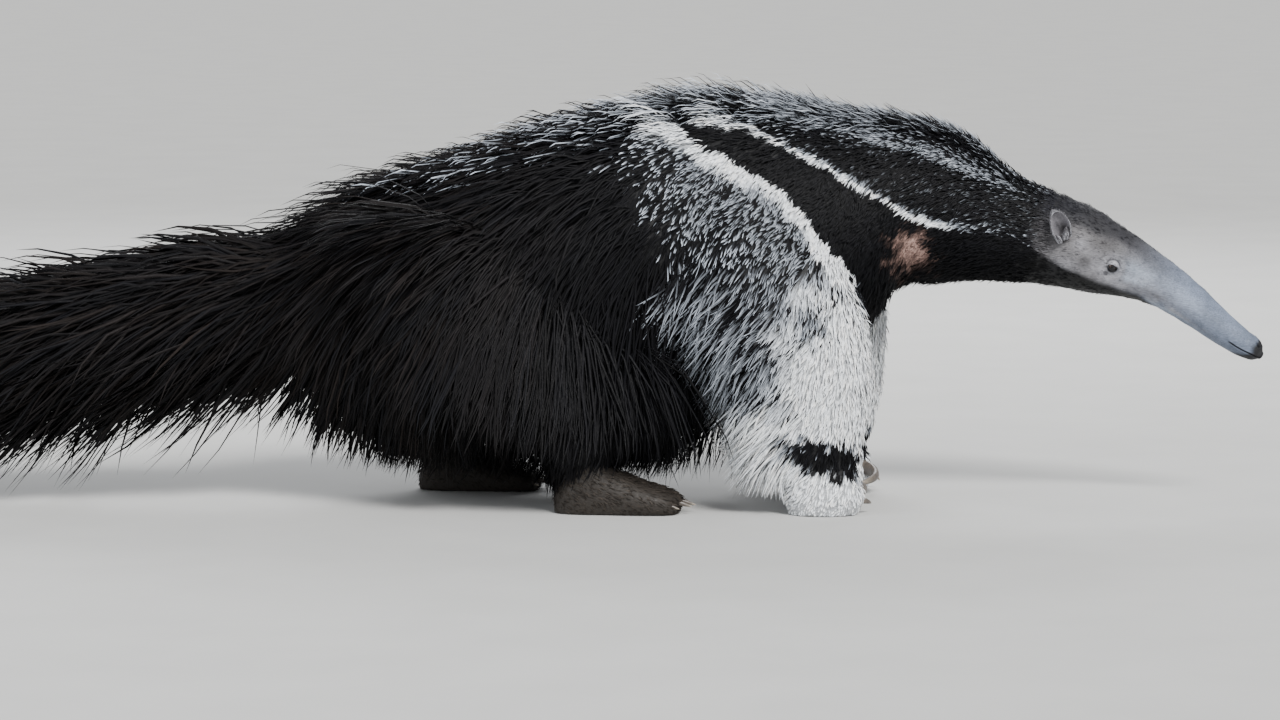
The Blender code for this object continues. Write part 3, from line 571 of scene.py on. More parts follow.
def fist_rings(leg, rings=12, sides=28):
    up = np.linspace(FIST[0][0], FIST[-1][0], rings)
    forward, depth, width = part_of_height(between(FIST, up))
    depth, width = depth - FOOT_INSET, width - FOOT_INSET
    turn = np.radians(turns(sides))
    x = (leg["foot"] + forward)[:, None] + depth[:, None] * rounded(np.cos(turn))
    y = leg["side"] * foot_out(leg) + width[:, None] * rounded(np.sin(turn))
    z = np.broadcast_to(part_of_height(up)[:, None], x.shape)
    return np.stack((x, y, z), -1)


def sole_rings(leg, rings=16, sides=28):
    forward = np.linspace(SOLE[0][0], SOLE[-1][0], rings)
    width, height = part_of_height(between(SOLE, forward))
    width, height = width - FOOT_INSET, height - FOOT_INSET
    turn = np.radians(turns(sides))
    y = leg["side"] * foot_out(leg) + width[:, None] * rounded(np.cos(turn))
    z = (height * SOLE_MIDDLE)[:, None] + (height * (1 - SOLE_MIDDLE))[:, None] * np.sin(turn)
    x = np.broadcast_to((leg["foot"] + part_of_height(forward))[:, None], y.shape)
    return np.stack((x, y, z), -1)


def foot_point(leg, forward, inward, up):
    return Vector((leg["foot"] + forward, leg["side"] * (foot_out(leg) - inward), up))


def foot_parts(leg):
    """The closed pieces that make one foot, without its claws."""
    fore = leg["rows"] is FORELEG
    claws, radii = (FORECLAWS, KNUCKLE) if fore else (HINDCLAWS, TOE)
    parts = [loft("foot", fist_rings(leg) if fore else sole_rings(leg))]
    for shape in claws.values():
        forward, inward, up = shape[:3]
        turn = math.radians(shape[5])
        way = Vector((math.cos(turn), -leg["side"] * math.sin(turn), -0.12))
        middle = foot_point(leg, forward, inward, up) - way * radii[0] * 0.45
        size = [r - FOOT_INSET * 0.5 for r in radii]
        parts.append(ellipsoid("toe", middle, size, facing(way, (0, 0, 1))))
    return parts


SOLE_LEVEL = 0.0008
SKIN_VOXEL = 0.0054
SKIN_SMOOTHING = 5


def body_skin():
    """Trunk, tail, legs and feet, run into each other smoothly."""
    along = np.concatenate((np.linspace(TRUNK_START, 104, 150), np.linspace(105, TAIL_END, 70)))
    a, t = np.meshgrid(along, turns(72), indexing="ij")
    tuck = HEAD_TUCK * np.clip((HEAD_MEETS - a) / (HEAD_MEETS - TRUNK_START), 0, 1)
    core = loft("body", trunk_point(a, t, inset(a, t) + tuck))
    parts = []
    for leg in LEGS.values():
        parts.append(loft("leg", leg_rings(leg)))
        parts += foot_parts(leg)
    united(core, parts)
    remesh = core.modifiers.new("remesh", "REMESH")
    remesh.mode = "VOXEL"
    remesh.voxel_size = SKIN_VOXEL
    relax = core.modifiers.new("smooth", "SMOOTH")
    relax.factor = 0.5
    relax.iterations = SKIN_SMOOTHING
    return settle(core)


def whole_skin():
    skin = body_skin()
    united(skin, [loft("head", head_grid())])
    skin.name = "skin"
    mesh = skin.data
    places = read(mesh.vertices, "co")
    places[:, 2] = np.maximum(places[:, 2], SOLE_LEVEL)
    mesh.vertices.foreach_set("co", places.ravel())
    mesh.polygons.foreach_set("use_smooth", np.ones(len(mesh.polygons), bool))
    mesh.update()
    return skin


# The markings.

# Borders on the animal's side, in metres: x, then z.
STRIPE_TOP = (
    (-0.165, 0.484), (-0.125, 0.482), (-0.087, 0.475), (-0.050, 0.464), (-0.012, 0.444),
    (0.025, 0.424), (0.062, 0.400), (0.100, 0.375), (0.131, 0.356), (0.162, 0.345), (0.200, 0.341),
    (0.231, 0.335), (0.287, 0.323), (0.310, 0.310), (0.345, 0.294), (0.372, 0.282), (0.400, 0.272),
    (0.424, 0.264), (0.440, 0.254), (0.460, 0.230), (0.500, 0.190),
)
STRIPE_BOTTOM = (
    (-0.165, 0.484), (-0.137, 0.465), (-0.106, 0.450), (-0.075, 0.429), (-0.050, 0.412),
    (-0.025, 0.394), (-0.006, 0.372), (0.006, 0.356), (0.019, 0.335), (0.037, 0.311),
    (0.056, 0.296), (0.075, 0.275), (0.085, 0.260), (0.100, 0.150),
)
# Where the pale shoulder ends towards the flank: z, then x.
SHOULDER_BACK = (
    (0.060, -0.080), (0.131, -0.100), (0.194, -0.140), (0.256, -0.150), (0.319, -0.169),
    (0.381, -0.193), (0.444, -0.213), (0.500, -0.236),
)
# The pale band under the crest of the neck: x, then z.
CREST_BAND = (
    (-0.060, 0.494), (0.000, 0.490), (0.065, 0.472), (0.130, 0.457), (0.179, 0.438), (0.228, 0.416),
    (0.293, 0.393),
)
BLACK = np.array((0.0030, 0.0030, 0.0040))
BROWN_BLACK = np.array((0.0090, 0.0065, 0.0055))
WHITE = np.array((0.86, 0.89, 0.93))
FLECK = np.array((0.55, 0.60, 0.68))
FACE = np.array((0.125, 0.120, 0.125))
MUZZLE = np.array((0.150, 0.180, 0.245))
# pale bluish fur of the muzzle, with a painted highlight
PALE_MUZZLE_AND_HIGHLIGHT = np.array((0.290, 0.330, 0.400))
CHEEK = np.array((0.225, 0.224, 0.245))
CROWN = np.array((0.014, 0.014, 0.018))
NOSE = np.array((0.010, 0.010, 0.012))
BARE = np.array((0.40, 0.255, 0.215))
FOOT = np.array((0.030, 0.025, 0.021))

edge_waves = Waves(11, 0.045)
patch_waves = Waves(12, 0.060)
fine_waves = Waves(13, 0.016)
speck_waves = Waves(14, 0.0092, 12)
SEEN_TILT, SEEN_RISE = 0.105, 0.0025  # the borders' heights are as seen from a little above
# A leg reaches a little past its own section, and up to these percents of HEIGHT on its outer
# and its inner side. Its foot is a box on the floor.
LEG_REACH = 1.25
FORELEG_TOPS, HINDLEG_TOPS = (60.0, 50.0), (52.0, 42.0)
FOOT_AHEAD, FOOT_HALF_LENGTH, FOOT_HEIGHT = 0.03, 0.115, 0.066
FOOT_OUT, FOOT_HALF_WIDTH = 0.113, 0.06
FOREFOOT_TOP, HIND_FOOT_TOP = 9.5, 11.5
HEAD_HAIR_END, TAIL_HAIR_START = 25, 103


class Places:
    """What the coat depends on at each point: its part of the body and its place there."""

    def __init__(self, points, normals, like=None):
        self.points, self.normals = points, normals
        self.x, self.y, self.z = points.T
        self.along, self.around = trunk_place(points)
        self.turn = np.abs(self.around)
        outer = trunk_point(self.along, self.around, -throat(self.along, self.around))
        self.side = np.where(self.y >= 0, 1.0, -1.0)
        count = len(points)
        self.leg = np.full(count, -1)
        self.leg_up = self.z / HEIGHT * 100
        self.leg_turn = np.zeros(count)
        self.foot = np.zeros(count, bool)
        for k, leg in enumerate(LEGS.values()):
            centre, depth, width = leg_section(leg, self.leg_up)
            fore = leg["rows"] is FORELEG
            ahead = (self.x - centre[:, 0]) / depth
            out = (self.y - centre[:, 1]) * leg["side"] / width
            own = (np.hypot(ahead, out) < LEG_REACH) & (self.y * leg["side"] > 0)
            own &= self.leg_up < np.where(out > 0.2, *(FORELEG_TOPS if fore else HINDLEG_TOPS))
            near = np.abs(self.x - leg["foot"] - FOOT_AHEAD) < FOOT_HALF_LENGTH
            near &= self.z < FOOT_HEIGHT
            near &= np.abs(self.y - leg["side"] * FOOT_OUT) < FOOT_HALF_WIDTH
            self.foot |= near & (self.leg_up < (FOREFOOT_TOP if fore else HIND_FOOT_TOP))
            own |= near
            self.leg[own] = k
            self.leg_turn[own] = np.degrees(np.arctan2(out, ahead))[own]
        if like is not None:
            self.leg, self.foot = like.leg, like.foot
        outer = np.where((self.leg < 0)[:, None], outer, points)
        self.seen_x = outer[:, 0]
        self.seen_z = outer[:, 2] + SEEN_RISE - SEEN_TILT * np.abs(outer[:, 1])
        self.fore = (self.leg == 0) | (self.leg == 1)
        self.hind = self.leg >= 2
        self.tail = (self.leg < 0) & (self.along > TAIL_HAIR_START)
        self.head = (self.leg < 0) & (self.along < HEAD_HAIR_END)
        if like is not None:
            self.leg_turn, self.tail = like.leg_turn, like.tail


def shoulder_paleness(p, under_line):
    """The flecked shoulder: whitest along the stripe and down towards the foreleg."""
    forward = p.seen_x - line(SHOULDER_BACK, p.seen_z) + 0.007 * patch_waves.at(p.points)
    made = 0.45 + 0.53 * smooth(0.048, 0.010, under_line)
    made += 0.30 * smooth(-0.060, 0.030, p.seen_x) * smooth(0.36, 0.24, p.seen_z)
    made += 0.25 * smooth(0.17, 0.11, p.seen_z) + 0.06 * patch_waves.at(p.points)
    return made * smooth(-0.024, 0.030, forward)


def crest_band(p):
    """The pale band that runs under the crest, from 0 to 1."""
    off = p.seen_z - line(CREST_BAND, p.seen_x)
    made = np.where(off > 0, bell(off, 0, 0.020), bell(off, 0, 0.012))
    return made * smooth(0.34, 0.22, p.seen_x) * smooth(-0.10, -0.04, p.seen_x)


def neck_paleness(p, over_line):
    """Above the stripe: a dark neck with few flecks, more of them on the crest and withers."""
    made = 0.05 + 0.20 * smooth(0.13, 0.25, p.seen_x) + 0.07 * bell(p.seen_x, 0.11, 0.035)
    made = np.maximum(made, 0.30 * smooth(0.03, -0.05, p.seen_x))
    made = np.maximum(made, 0.30 * smooth(24, 12, p.turn) * smooth(26, 33, p.along))
    made = np.maximum(made, 0.62 * smooth(13, 6, p.turn) * smooth(26, 33, p.along))
    made = np.maximum(made, 0.64 * crest_band(p)) + 0.04 * patch_waves.at(p.points)
    made *= smooth(24.0, 27.5, p.along)
    wide = 0.0036 + 0.0030 * smooth(-0.15, -0.07, p.seen_x)
    white = smooth(0.240, 0.165, p.seen_x) * smooth(wide + 0.0085, wide - 0.0040, over_line)
    white = white * smooth(-0.155, -0.130, p.seen_x)
    return made + (0.97 - made) * white


def rear_paleness(p):
    """Behind the stripe's point: streaks over the back, and a black rump and flank."""
    made = 0.32 * smooth(0.405, 0.450, p.seen_z) * smooth(-0.28, -0.22, p.seen_x)
    made = np.maximum(made, 0.34 * smooth(40, 20, p.turn) * smooth(-0.60, -0.28, p.seen_x))
    strands = smooth(-0.24, -0.19, p.seen_x) * smooth(-0.10, -0.15, p.seen_x)
    return made + 0.02 * strands * smooth(0.13, 0.16, p.seen_z) * smooth(0.30, 0.26, p.seen_z)


def foreleg_paleness(p):
    """The white forelegs, greyer behind: a dark patch over each wrist, a smudge on the right one."""
    ahead = p.seen_x - 0.02 * (p.side > 0) + 0.008 * patch_waves.at(p.points)
    made = 0.66 + 0.34 * np.maximum(smooth(-0.065, 0.012, ahead), smooth(0.15, 0.10, p.z))
    smudge = bell(p.seen_x, 0.011, 0.017) * bell(p.seen_z, 0.222, 0.022) * (p.side < 0)
    made = made - 0.62 * smudge * np.clip(0.8 + 0.5 * fine_waves.at(p.points), 0, 1.2)
    ragged = 0.006 * fine_waves.at(p.points) + 0.004 * edge_waves.at(p.points)
    height = p.z + ragged + 0.010 * np.cos(np.radians(p.leg_turn))
    wrist = smooth(0.052, 0.060, height) * smooth(0.094, 0.084, height)
    return made * (1 - 0.97 * wrist * smooth(128, 100, np.abs(p.leg_turn)))


def overhang(p):
    """How far the tips along the stripe's upper border hang below it."""
    return 0.0015 + 0.0055 * smooth(0.12, -0.06, p.seen_x)


def paleness(p):
    """How many of the hairs at each place are white-tipped, from 0 to 1."""
    edge = 0.0022 * edge_waves.at(p.points) + 0.0016 * fine_waves.at(p.points)
    over_line = p.seen_z - line(STRIPE_TOP, p.seen_x) - edge - overhang(p)
    bottom = np.where(p.seen_x < 0.100, line(STRIPE_BOTTOM, p.seen_x), -1)
    under_line = bottom - p.seen_z + 1.5 * edge + 0.012 * smooth(-0.105, -0.172, p.seen_x)
    shoulder = shoulder_paleness(p, under_line)
    made = np.where(over_line > 0, neck_paleness(p, over_line), 0.0)
    made = np.where(under_line > 0, shoulder, made)
    behind = smooth(-0.150, -0.175, p.seen_x)
    tip = shoulder * smooth(0.502, 0.480, p.seen_z + 0.1 * (p.seen_x + 0.165))
    rear = np.maximum(rear_paleness(p), tip)
    made = made * (1 - behind) + rear * behind
    # the chest and the belly are black between the legs
    made = made * (1 - smooth(112, 128, p.turn) * (p.leg < 0) * (p.along > 42))
    made = np.where(p.head, 0.0, made)
    made = np.where(p.tail | p.hind, 0.0, made)
    limb = foreleg_paleness(p)
    weight = smooth(0.32, 0.22, p.z) * p.fore
    return np.clip(made * (1 - weight) + limb * weight, 0, 1)


def brightness(p):
    """How bright the pale tips are: dimmer on the sides of the neck than on the crest."""
    above = p.seen_z - line(STRIPE_TOP, p.seen_x)
    side = smooth(0.012, 0.026, above) * smooth(14, 36, p.turn) * smooth(-0.06, 0.06, p.seen_x)
    return 1 - 0.76 * side * (1 - crest_band(p))


# Patches of the face: colour, place and length, turn and width, and strength, which the broad
# and the fine waves may vary.
FACE_PATCHES = (
    (CHEEK, 17.5, 4.5, 112, 26, 0.62, 0.22, 0),
    (CHEEK, 22.5, 2.6, 124, 14, 0.60, 0, 0),
    (CHEEK * 0.9, 12.0, 5.0, 118, 20, 0.50, 0, 0),
    (FACE * 0.45, 19.6, 0.9, 108, 10, 0.75, 0, 0),
    (FACE * 0.5, 11.8, 1.7, 123, 6, 0.55, 0, 0.3),
    (FACE * 0.4, 18.6, 1.3, 74, 10, 0.70, 0, 0),
    (CHEEK * 1.1, 20.8, 0.8, 86, 9, 0.60, 0, 0),
    # the pale bluish patches on the muzzle and lower cheek: paler fur with a painted highlight
    (PALE_MUZZLE_AND_HIGHLIGHT, 14.0, 2.0, 96, 16, 0.75, 0, 0),
    (PALE_MUZZLE_AND_HIGHLIGHT, 9.0, 3.6, 92, 20, 0.35, 0, 0),
    (PALE_MUZZLE_AND_HIGHLIGHT * 1.15, 14.0, 1.5, 116, 8, 0.50, 0, 0.3),
    (PALE_MUZZLE_AND_HIGHLIGHT * 0.95, 9.6, 2.2, 146, 9, 0.50, 0, 0.3),
)


def blend(made, colour, weight):
    """Turns the rows of made towards a colour."""
    made += (colour - made) * np.clip(weight, 0, 1)[:, None]


def colour_eye_ring(made, p):
    """Pale and dark rings round the eye, a painted highlight on the upper lid with painted shade in
    the fold over it, and a dark patch behind and below it.
    """
    centre, _, front, top = eye_place(1)
    apart = np.stack((p.x, np.abs(p.y), p.z), -1) - centre
    across, high = dot(apart, front), dot(apart, top)
    ring = np.hypot(across, high)
    blend(made, CHEEK * 1.25, bell(ring, 0.0130, 0.0042) * 0.60)
    # painted highlight: a pale crescent on the upper lid
    blend(made, CHEEK * 1.9, bell(ring, 0.0068, 0.0022) * smooth(0.000, 0.003, high) * 0.8)
    # painted shade: a dark arc in the fold over the upper lid
    blend(made, CROWN, bell(ring, 0.0098, 0.0010) * smooth(0.001, 0.005, high) * 0.85)
    blend(made, CROWN * 0.7, smooth(0.0078, 0.0058, ring) * smooth(0.0045, 0.0020, high))
    patch = np.hypot((across + 0.0055) / 0.0042, (high + 0.0100) / 0.0032)
    blend(made, CROWN, smooth(1.2, 0.6, patch) * 0.75)


def face_colour(p):
    """The short hair of the head, without flecks."""
    made = np.broadcast_to(FACE, (len(p.x), 3)).copy()
    blotch = patch_waves.at(p.points)
    mottle = fine_waves.at(p.points)
    blend(made, MUZZLE, smooth(18.0, 8.0, p.along))
    for colour, place, length, turn, width, strength, broad, fine in FACE_PATCHES:
        weight = bell(p.along, place, length) * bell(p.turn, turn, width)
        blend(made, colour, weight * (strength + broad * blotch + fine * mottle))
    lip = bell(p.turn, 136, 9) * smooth(19, 14, p.along) * smooth(3, 7, p.along)
    blend(made, CHEEK * 1.15, lip * (0.35 + 0.25 * mottle))
    blend(made, MUZZLE * 0.62, smooth(4.5, 1.5, p.along) * 0.6)
    crown = smooth(76, 50, p.turn + 6 * blotch) * smooth(9.5, 17.5, p.along)
    blend(made, CROWN, crown * 0.92)
    blend(made, CROWN, smooth(66, 34, p.turn) * smooth(20.0, 23.0, p.along))
    blend(made, CHEEK * 0.9, bell(p.turn, 0, 7) * smooth(26, 20, p.along) * 0.35)
    behind = smooth(22.5, 24.5, p.along) * bell(p.turn, 96, 22)
    blend(made, CROWN * 1.6, smooth(23.0, 25.5, p.along) * 0.8)
    blend(made, FACE * 1.25, behind * np.clip(0.6 + 0.4 * mottle, 0, 1))
    under = line(STRIPE_TOP, p.seen_x) - p.seen_z + 0.0024 * edge_waves.at(p.points)
    blend(made, BLACK, smooth(-0.003, 0.005, under))
    colour_eye_ring(made, p)
    # the nose, and painted shade along the line of the mouth
    blend(made, NOSE, smooth(1.30, 0.75, p.along + 0.12 * mottle))
    centre, up, _, depth, _ = trunk_section(p.along)
    slit = dot(p.points - centre, up) + depth * MOUTH_BELOW
    reach = smooth(MOUTH_END + 0.2, MOUTH_END - 0.2, p.along)
    blend(made, NOSE, bell(slit, 0, 0.0011) * reach)
    made *= (1 + 0.12 * blotch + 0.07 * mottle)[:, None]
    return np.clip(made, 0.003, 1)


WORN_X, WORN_Z, WORN_REACH = 0.141, 0.318, 0.030


def worn(p):
    """The worn patch on the right side of the neck, with ragged edges."""
    ragged = 0.30 * fine_waves.at(p.points) + 0.20 * edge_waves.at(p.points)
    size = np.hypot((p.seen_x - WORN_X) / WORN_REACH, (p.seen_z - WORN_Z) / WORN_REACH)
    return smooth(1.15, 0.50, size + ragged) * (p.side < 0)


def dark_colour(p):
    """The hair between the white-tipped ones."""
    made = np.broadcast_to(BLACK, (len(p.x), 3)).copy()
    brown = np.clip(0.3 + 0.35 * patch_waves.at(p.points), 0, 1) * smooth(-0.2, -0.5, p.x)
    made += (BROWN_BLACK - made) * brown[:, None]
    made += (FOOT - made) * ((p.foot & p.hind) * smooth(0.085, 0.050, p.z))[:, None]
    return made


def skin_colour(p):
    """The skin under the coat: as dark as the hair round it, paler where most tips are white."""
    pale = smooth(0.55, 1.0, paleness(p)) * 0.75
    made = dark_colour(p) * 0.8 * (1 - pale[:, None]) + WHITE * 0.55 * pale[:, None]
    head = smooth(25.5, 22.5, p.along) * (p.leg < 0)
    made += (face_colour(p) - made) * head[:, None]
    made += (BARE - made) * worn(p)[:, None]
    return made


# The coat.

# The coat's length on the trunk: place, then over the back, on the side and below, in metres.
LENGTHS = (
    (0.0, 0.0025, 0.0025, 0.0025), (8.0, 0.0050, 0.0045, 0.0045), (16.0, 0.0070, 0.0060, 0.0060),
    (21.0, 0.0090, 0.0075, 0.0080), (25.0, 0.0140, 0.0110, 0.0110), (30.0, 0.0230, 0.0140, 0.0150),
    (35.0, 0.0360, 0.0150, 0.0190), (41.0, 0.0440, 0.0160, 0.0280), (47.0, 0.0560, 0.0165, 0.0420),
    (54.0, 0.0640, 0.0180, 0.0600), (60.0, 0.0680, 0.0220, 0.0750), (66.0, 0.0690, 0.0600, 0.0850),
    (74.0, 0.0740, 0.1100, 0.0900), (85.0, 0.0880, 0.1400, 0.1000), (95.0, 0.1250, 0.1600, 0.1300),
    (104.0, 0.1450, 0.1700, 0.2100), (125.0, 0.1600, 0.1850, 0.2500),
    (169.0, 0.1700, 0.1800, 0.2300),
)
# How far the hair lies down, against back along the body, on the sides.
FALL = (
    (0.0, 0.02), (20.0, 0.06), (27.0, 0.20), (36.0, 0.50), (45.0, 0.95), (56.0, 1.15), (75.0, 1.10),
    (92.0, 0.95), (104.0, 0.80),
)

STRAYING = 0.13  # how far the hair leans this way and that from its lie
lean_waves = [Waves(21 + k, 0.055) for k in range(3)]
curl_waves = [Waves(31 + k, 0.013) for k in range(3)]

# The plume's hair from over the tail (0) to under it (1): how far it drops, and how far back.
PLUME_DROP = ((0, -0.22), (0.25, -0.05), (0.5, 0.45), (1, 0.85))
PLUME_BACK = ((0, 1), (0.5, 0.85), (1, 0.62))


def leaning(way, other, weight):
    """Turns directions towards others, by a weight from 0 to 1."""
    weight = weight[:, None]
    return unit(way) * (1 - weight) + unit(other) * weight


def lie_of(p):
    """The way the hair lies at each place, before it is laid on the skin."""
    forward = trunk_section(p.along)[2]
    zero, one = np.zeros_like(p.x), np.ones_like(p.x)
    fall = line(FALL, p.along) * (0.10 + 0.90 * smooth(6, 62, p.turn))
    out = np.stack((zero, p.side, zero), -1)
    way = -forward - UP * fall[:, None] + out * 0.06
    # the skirts and the underside hang
    hang = smooth(78, 108, p.turn) * smooth(54, 61, p.along) * smooth(106, 98, p.along)
    way = way - UP * (2.4 * hang)[:, None]
    chest = smooth(105, 140, p.turn) * smooth(34, 42, p.along) * smooth(60, 52, p.along)
    way = way - UP * (1.2 * chest)[:, None]
    # the plume
    share = np.clip(p.turn / 180, 0, 1)
    out = p.side * (0.06 + 0.20 * np.sin(share * math.pi))
    plume = np.stack((-line(PLUME_BACK, share), out, -line(PLUME_DROP, share)), -1)
    way = leaning(way, plume, smooth(98, 106, p.along))
    # the legs
    behind = smooth(70, 130, np.abs(p.leg_turn))
    leg_back = np.where(p.fore, 0.30 + 0.70 * behind, 0.22 + 0.25 * behind)
    limb = np.stack((-leg_back, p.side * 0.06, -one), -1)
    way = leaning(way, limb, smooth(0.36, 0.26, p.z) * (p.leg >= 0))
    toes = np.stack((one, zero, -0.45 * one), -1)
    way = leaning(way, toes, (p.foot & p.hind) * smooth(0.075, 0.050, p.z))
    strays = np.stack([w.at(p.points) for w in lean_waves], -1)
    return unit(unit(way) + STRAYING * strays)


SHORT_COAT = 0.0175  # on the shoulder, where the longer coat of the trunk hasn't begun
SKIRT = 0.205  # the hair that hangs between the legs
FOREFOOT_COAT, HIND_FOOT_COAT = 0.013, 0.011


def length_of(p):
    """How long the hair is at each place."""
    # over the neck and the withers only a narrow mane is long
    narrow = smooth(64, 54, p.along)
    turn = p.turn + narrow * 40 * smooth(9, 26, p.turn) * smooth(90, 60, p.turn)
    made = by_turn(between(LENGTHS, p.along), turn)
    # on the flank behind the shoulder the long coat starts along a slanting line
    forward = p.seen_x - line(SHOULDER_BACK, p.seen_z)
    short = smooth(-0.045, 0.012, forward) * (p.along > 44)
    point = smooth(53, 58, p.along) * smooth(74, 67, p.along)
    short = short * smooth(18 - 7 * point, 34 - 11 * point, p.turn) * smooth(122, 106, p.turn)
    short_coat = SHORT_COAT + 0.048 * smooth(86, 112, p.turn)
    made = made + (np.minimum(made, short_coat) - made) * short
    hang = smooth(84, 106, p.turn) * smooth(54, 60, p.along) * smooth(104, 94, p.along)
    made = made + (SKIRT - made) * hang * (1 - short)
    behind = smooth(95, 150, np.abs(p.leg_turn))
    fore = 0.017 + 0.058 * behind * smooth(0.045, 0.080, p.z) + 0.006 * smooth(0.20, 0.30, p.z)
    made = np.where(p.fore, fore, made)
    outer = smooth(-60, 10, p.leg_turn)
    thigh = 0.060 + 0.085 * smooth(0.12, 0.24, p.z) * outer
    shank = 0.026 + 0.024 * smooth(80, 150, np.abs(p.leg_turn))
    hind = shank + (thigh - shank) * smooth(0.105, 0.175, p.z)
    made = np.where(p.hind, hind, made)
    made = np.where(p.foot, np.where(p.hind, HIND_FOOT_COAT, FOREFOOT_COAT), made)
    return made * (1 - 0.80 * worn(p))


LIFTS = (
    (0, 0.03), (18, 0.07), (22, 0.14), (26, 0.32), (36, 0.48), (60, 0.46), (82, 0.41), (91, 0.22),
    (98, 0.22), (107, 0.50),
)


def lift_of(p):
    """How steeply the hair stands up from the skin at its root."""
    lift = line(LIFTS, p.along)
    crest = smooth(26, 9, p.turn) * smooth(25, 34, p.along) * smooth(106, 92, p.along)
    lift = lift + 0.62 * crest
    behind = smooth(95, 150, np.abs(p.leg_turn))
    lift = np.where(p.leg >= 0, 0.34 + 0.30 * behind * p.fore, lift)
    lift = np.where(p.hind, 0.18, lift)
    return np.where(p.foot, 0.16, lift)


class Skin:
    """The finished skin as arrays, to set tufts on."""

    def __init__(self, made):
        mesh = made.data
        mesh.calc_loop_triangles()
        self.points = places_of(made)
        self.normals = read(mesh.vertices, "normal").astype(float)
        self.corners = read(mesh.loop_triangles, "vertices", np.int32)
        a, b, c = (self.points[self.corners[:, k]] for k in range(3))
        self.areas = np.linalg.norm(np.cross(b - a, c - a), axis=-1) / 2
        self.middles = Places((a + b + c) / 3, unit(self.normals[self.corners].sum(1)))

    def roots(self, weight, count, draw):
        """Places spread over the skin by weight per area."""
        share = np.cumsum(self.areas * weight)
        picks = (np.arange(count) + draw.uniform(0, 1, count)) / count * share[-1]
        rows = self.corners[np.clip(np.searchsorted(share, picks), 0, len(share) - 1)]
        u, v = draw.uniform(0, 1, (2, count))
        over = u + v > 1
        u, v = np.where(over, 1 - u, u), np.where(over, 1 - v, v)
        parts = np.stack((1 - u - v, u, v), -1)[..., None]
        points = (self.points[rows] * parts).sum(1)
        return Places(points, unit((self.normals[rows] * parts).sum(1)))


# A tuft's rings by their number: their shares of its length, and their shares of its width.
RINGS = {2: (0.0, 0.58), 3: (0.0, 0.48, 0.85), 4: (0.0, 0.28, 0.56, 0.82)}
WIDTHS = {2: (0.70, 1.00), 3: (0.60, 1.00, 0.66), 4: (0.60, 1.00, 0.85, 0.48)}
FLATNESS = 0.38
ROUNDNESS = {2: 0.45, 3: 0.9, 4: 1.1}  # how far a tuft's sides are shaded away from the skin's way
SPREAD, CURL, WAVE, ROLL = 0.15, 0.12, 0.30, 0.5  # how unevenly tufts point, curl and turn
LIFTED, LENGTHENED = (0.6, 1.35), (0.78, 1.15)  # shares, least and most, of what a place gives
SHORTEST = 0.006  # what is left of a tuft that would reach the floor
WIDEST, TAPER_OFF = 0.165, 0.026  # tips bend down where the coat gets this far out
LOWEST_TIP = 0.012  # above the floor
CLUMPS = {2: 4, 3: 7, 4: 14}  # how many tufts lean together
CLUMP_REACH, CLUMP_PULL = 0.30, 0.75  # shares of the way to the clump's middle
HEAD_ROLL, HEAD_FLATNESS = 0.4, 0.45  # shares of what holds elsewhere
SEEN_SHARE = 0.6  # the markings are those of where the tuft's outer half lies, not of its root
SPECKED = 0.75  # how many tufts go by the specks that neighbours share, and not by chance
SPECK_CONTRAST = 2.4
PATCH = 0.003  # a tuft's length on the OFBake map
MAP_START, MAP_SPAN = 0.002, 0.994  # the part of the map that is used


def clumped(p, length, size, draw):
    """For each tuft, the step from its root to the middle of the clump that it leans to."""
    count = max(8, int(len(p.x) / size))
    centres = p.points[draw.choice(len(p.x), count, replace=False)]
    tree = KDTree(count)
    for i, centre in enumerate(centres.tolist()):
        tree.insert(centre, i)
    tree.balance()
    nearest = np.array([tree.find(point)[1] for point in p.points.tolist()])
    step = centres[nearest] - p.points
    far = np.linalg.norm(step, axis=-1)
    return step * np.minimum(1, CLUMP_REACH * length / np.maximum(far, 1e-6))[:, None]


def within_width(made):
    """Bends down what would stand out too far to a side, and keeps it off the floor."""
    out = np.abs(made[..., 1])
    over = np.maximum(out - WIDEST, 0)
    squeezed = WIDEST + TAPER_OFF * (1 - np.exp(-over / TAPER_OFF))
    made[..., 1] = np.where(over > 0, np.sign(made[..., 1]) * squeezed, made[..., 1])
    made[..., 2] -= 0.5 * np.where(over > 0, out - squeezed, 0)
    made[..., 2] = np.maximum(made[..., 2], SOLE_LEVEL)
    return made


def paths(p, rings, length, droop, lie, draw):
    """Points down the middle of each tuft from its root to its tip, and its way across."""
    count = len(p.x)
    normals = p.normals
    lie = lie - normals * np.minimum(dot(lie, normals), 0.55)[:, None]
    curl = np.stack([w.at(p.points) for w in curl_waves], -1) * CURL
    lie = unit(unit(lie) + curl + draw.normal(0, SPREAD, (count, 3)))
    lift = lift_of(p) * draw.uniform(*LIFTED, count)
    length = length * draw.uniform(*LENGTHENED, count)
    down = np.maximum(-lie[:, 2], 0.05) + droop * 0.5
    length = np.minimum(length, np.maximum((p.z - LOWEST_TIP) / down, SHORTEST))
    across = unit(np.cross(normals, lie) + 1e-9)
    wave = draw.uniform(-WAVE, WAVE, count)
    here = p.points - normals * np.clip(length * 0.07, 0.0006, 0.004)[:, None]
    way = unit(lie + normals * lift[:, None])
    clump = clumped(p, length, CLUMPS[rings], draw)
    made, before = [], 0.0
    for share in RINGS[rings] + (1.0,):
        here = here + way * ((share - before) * length)[:, None]
        before = share
        made.append(here + clump * (CLUMP_PULL * share**1.5))
        rise = lift * (1 - share) ** 1.4 - 0.12 * share
        way = lie + normals * rise[:, None] - UP * (droop * share * 1.2)
        way = unit(way + across * (wave * math.sin(share * 6.0))[:, None])
    return within_width(np.stack(made, 1)), across


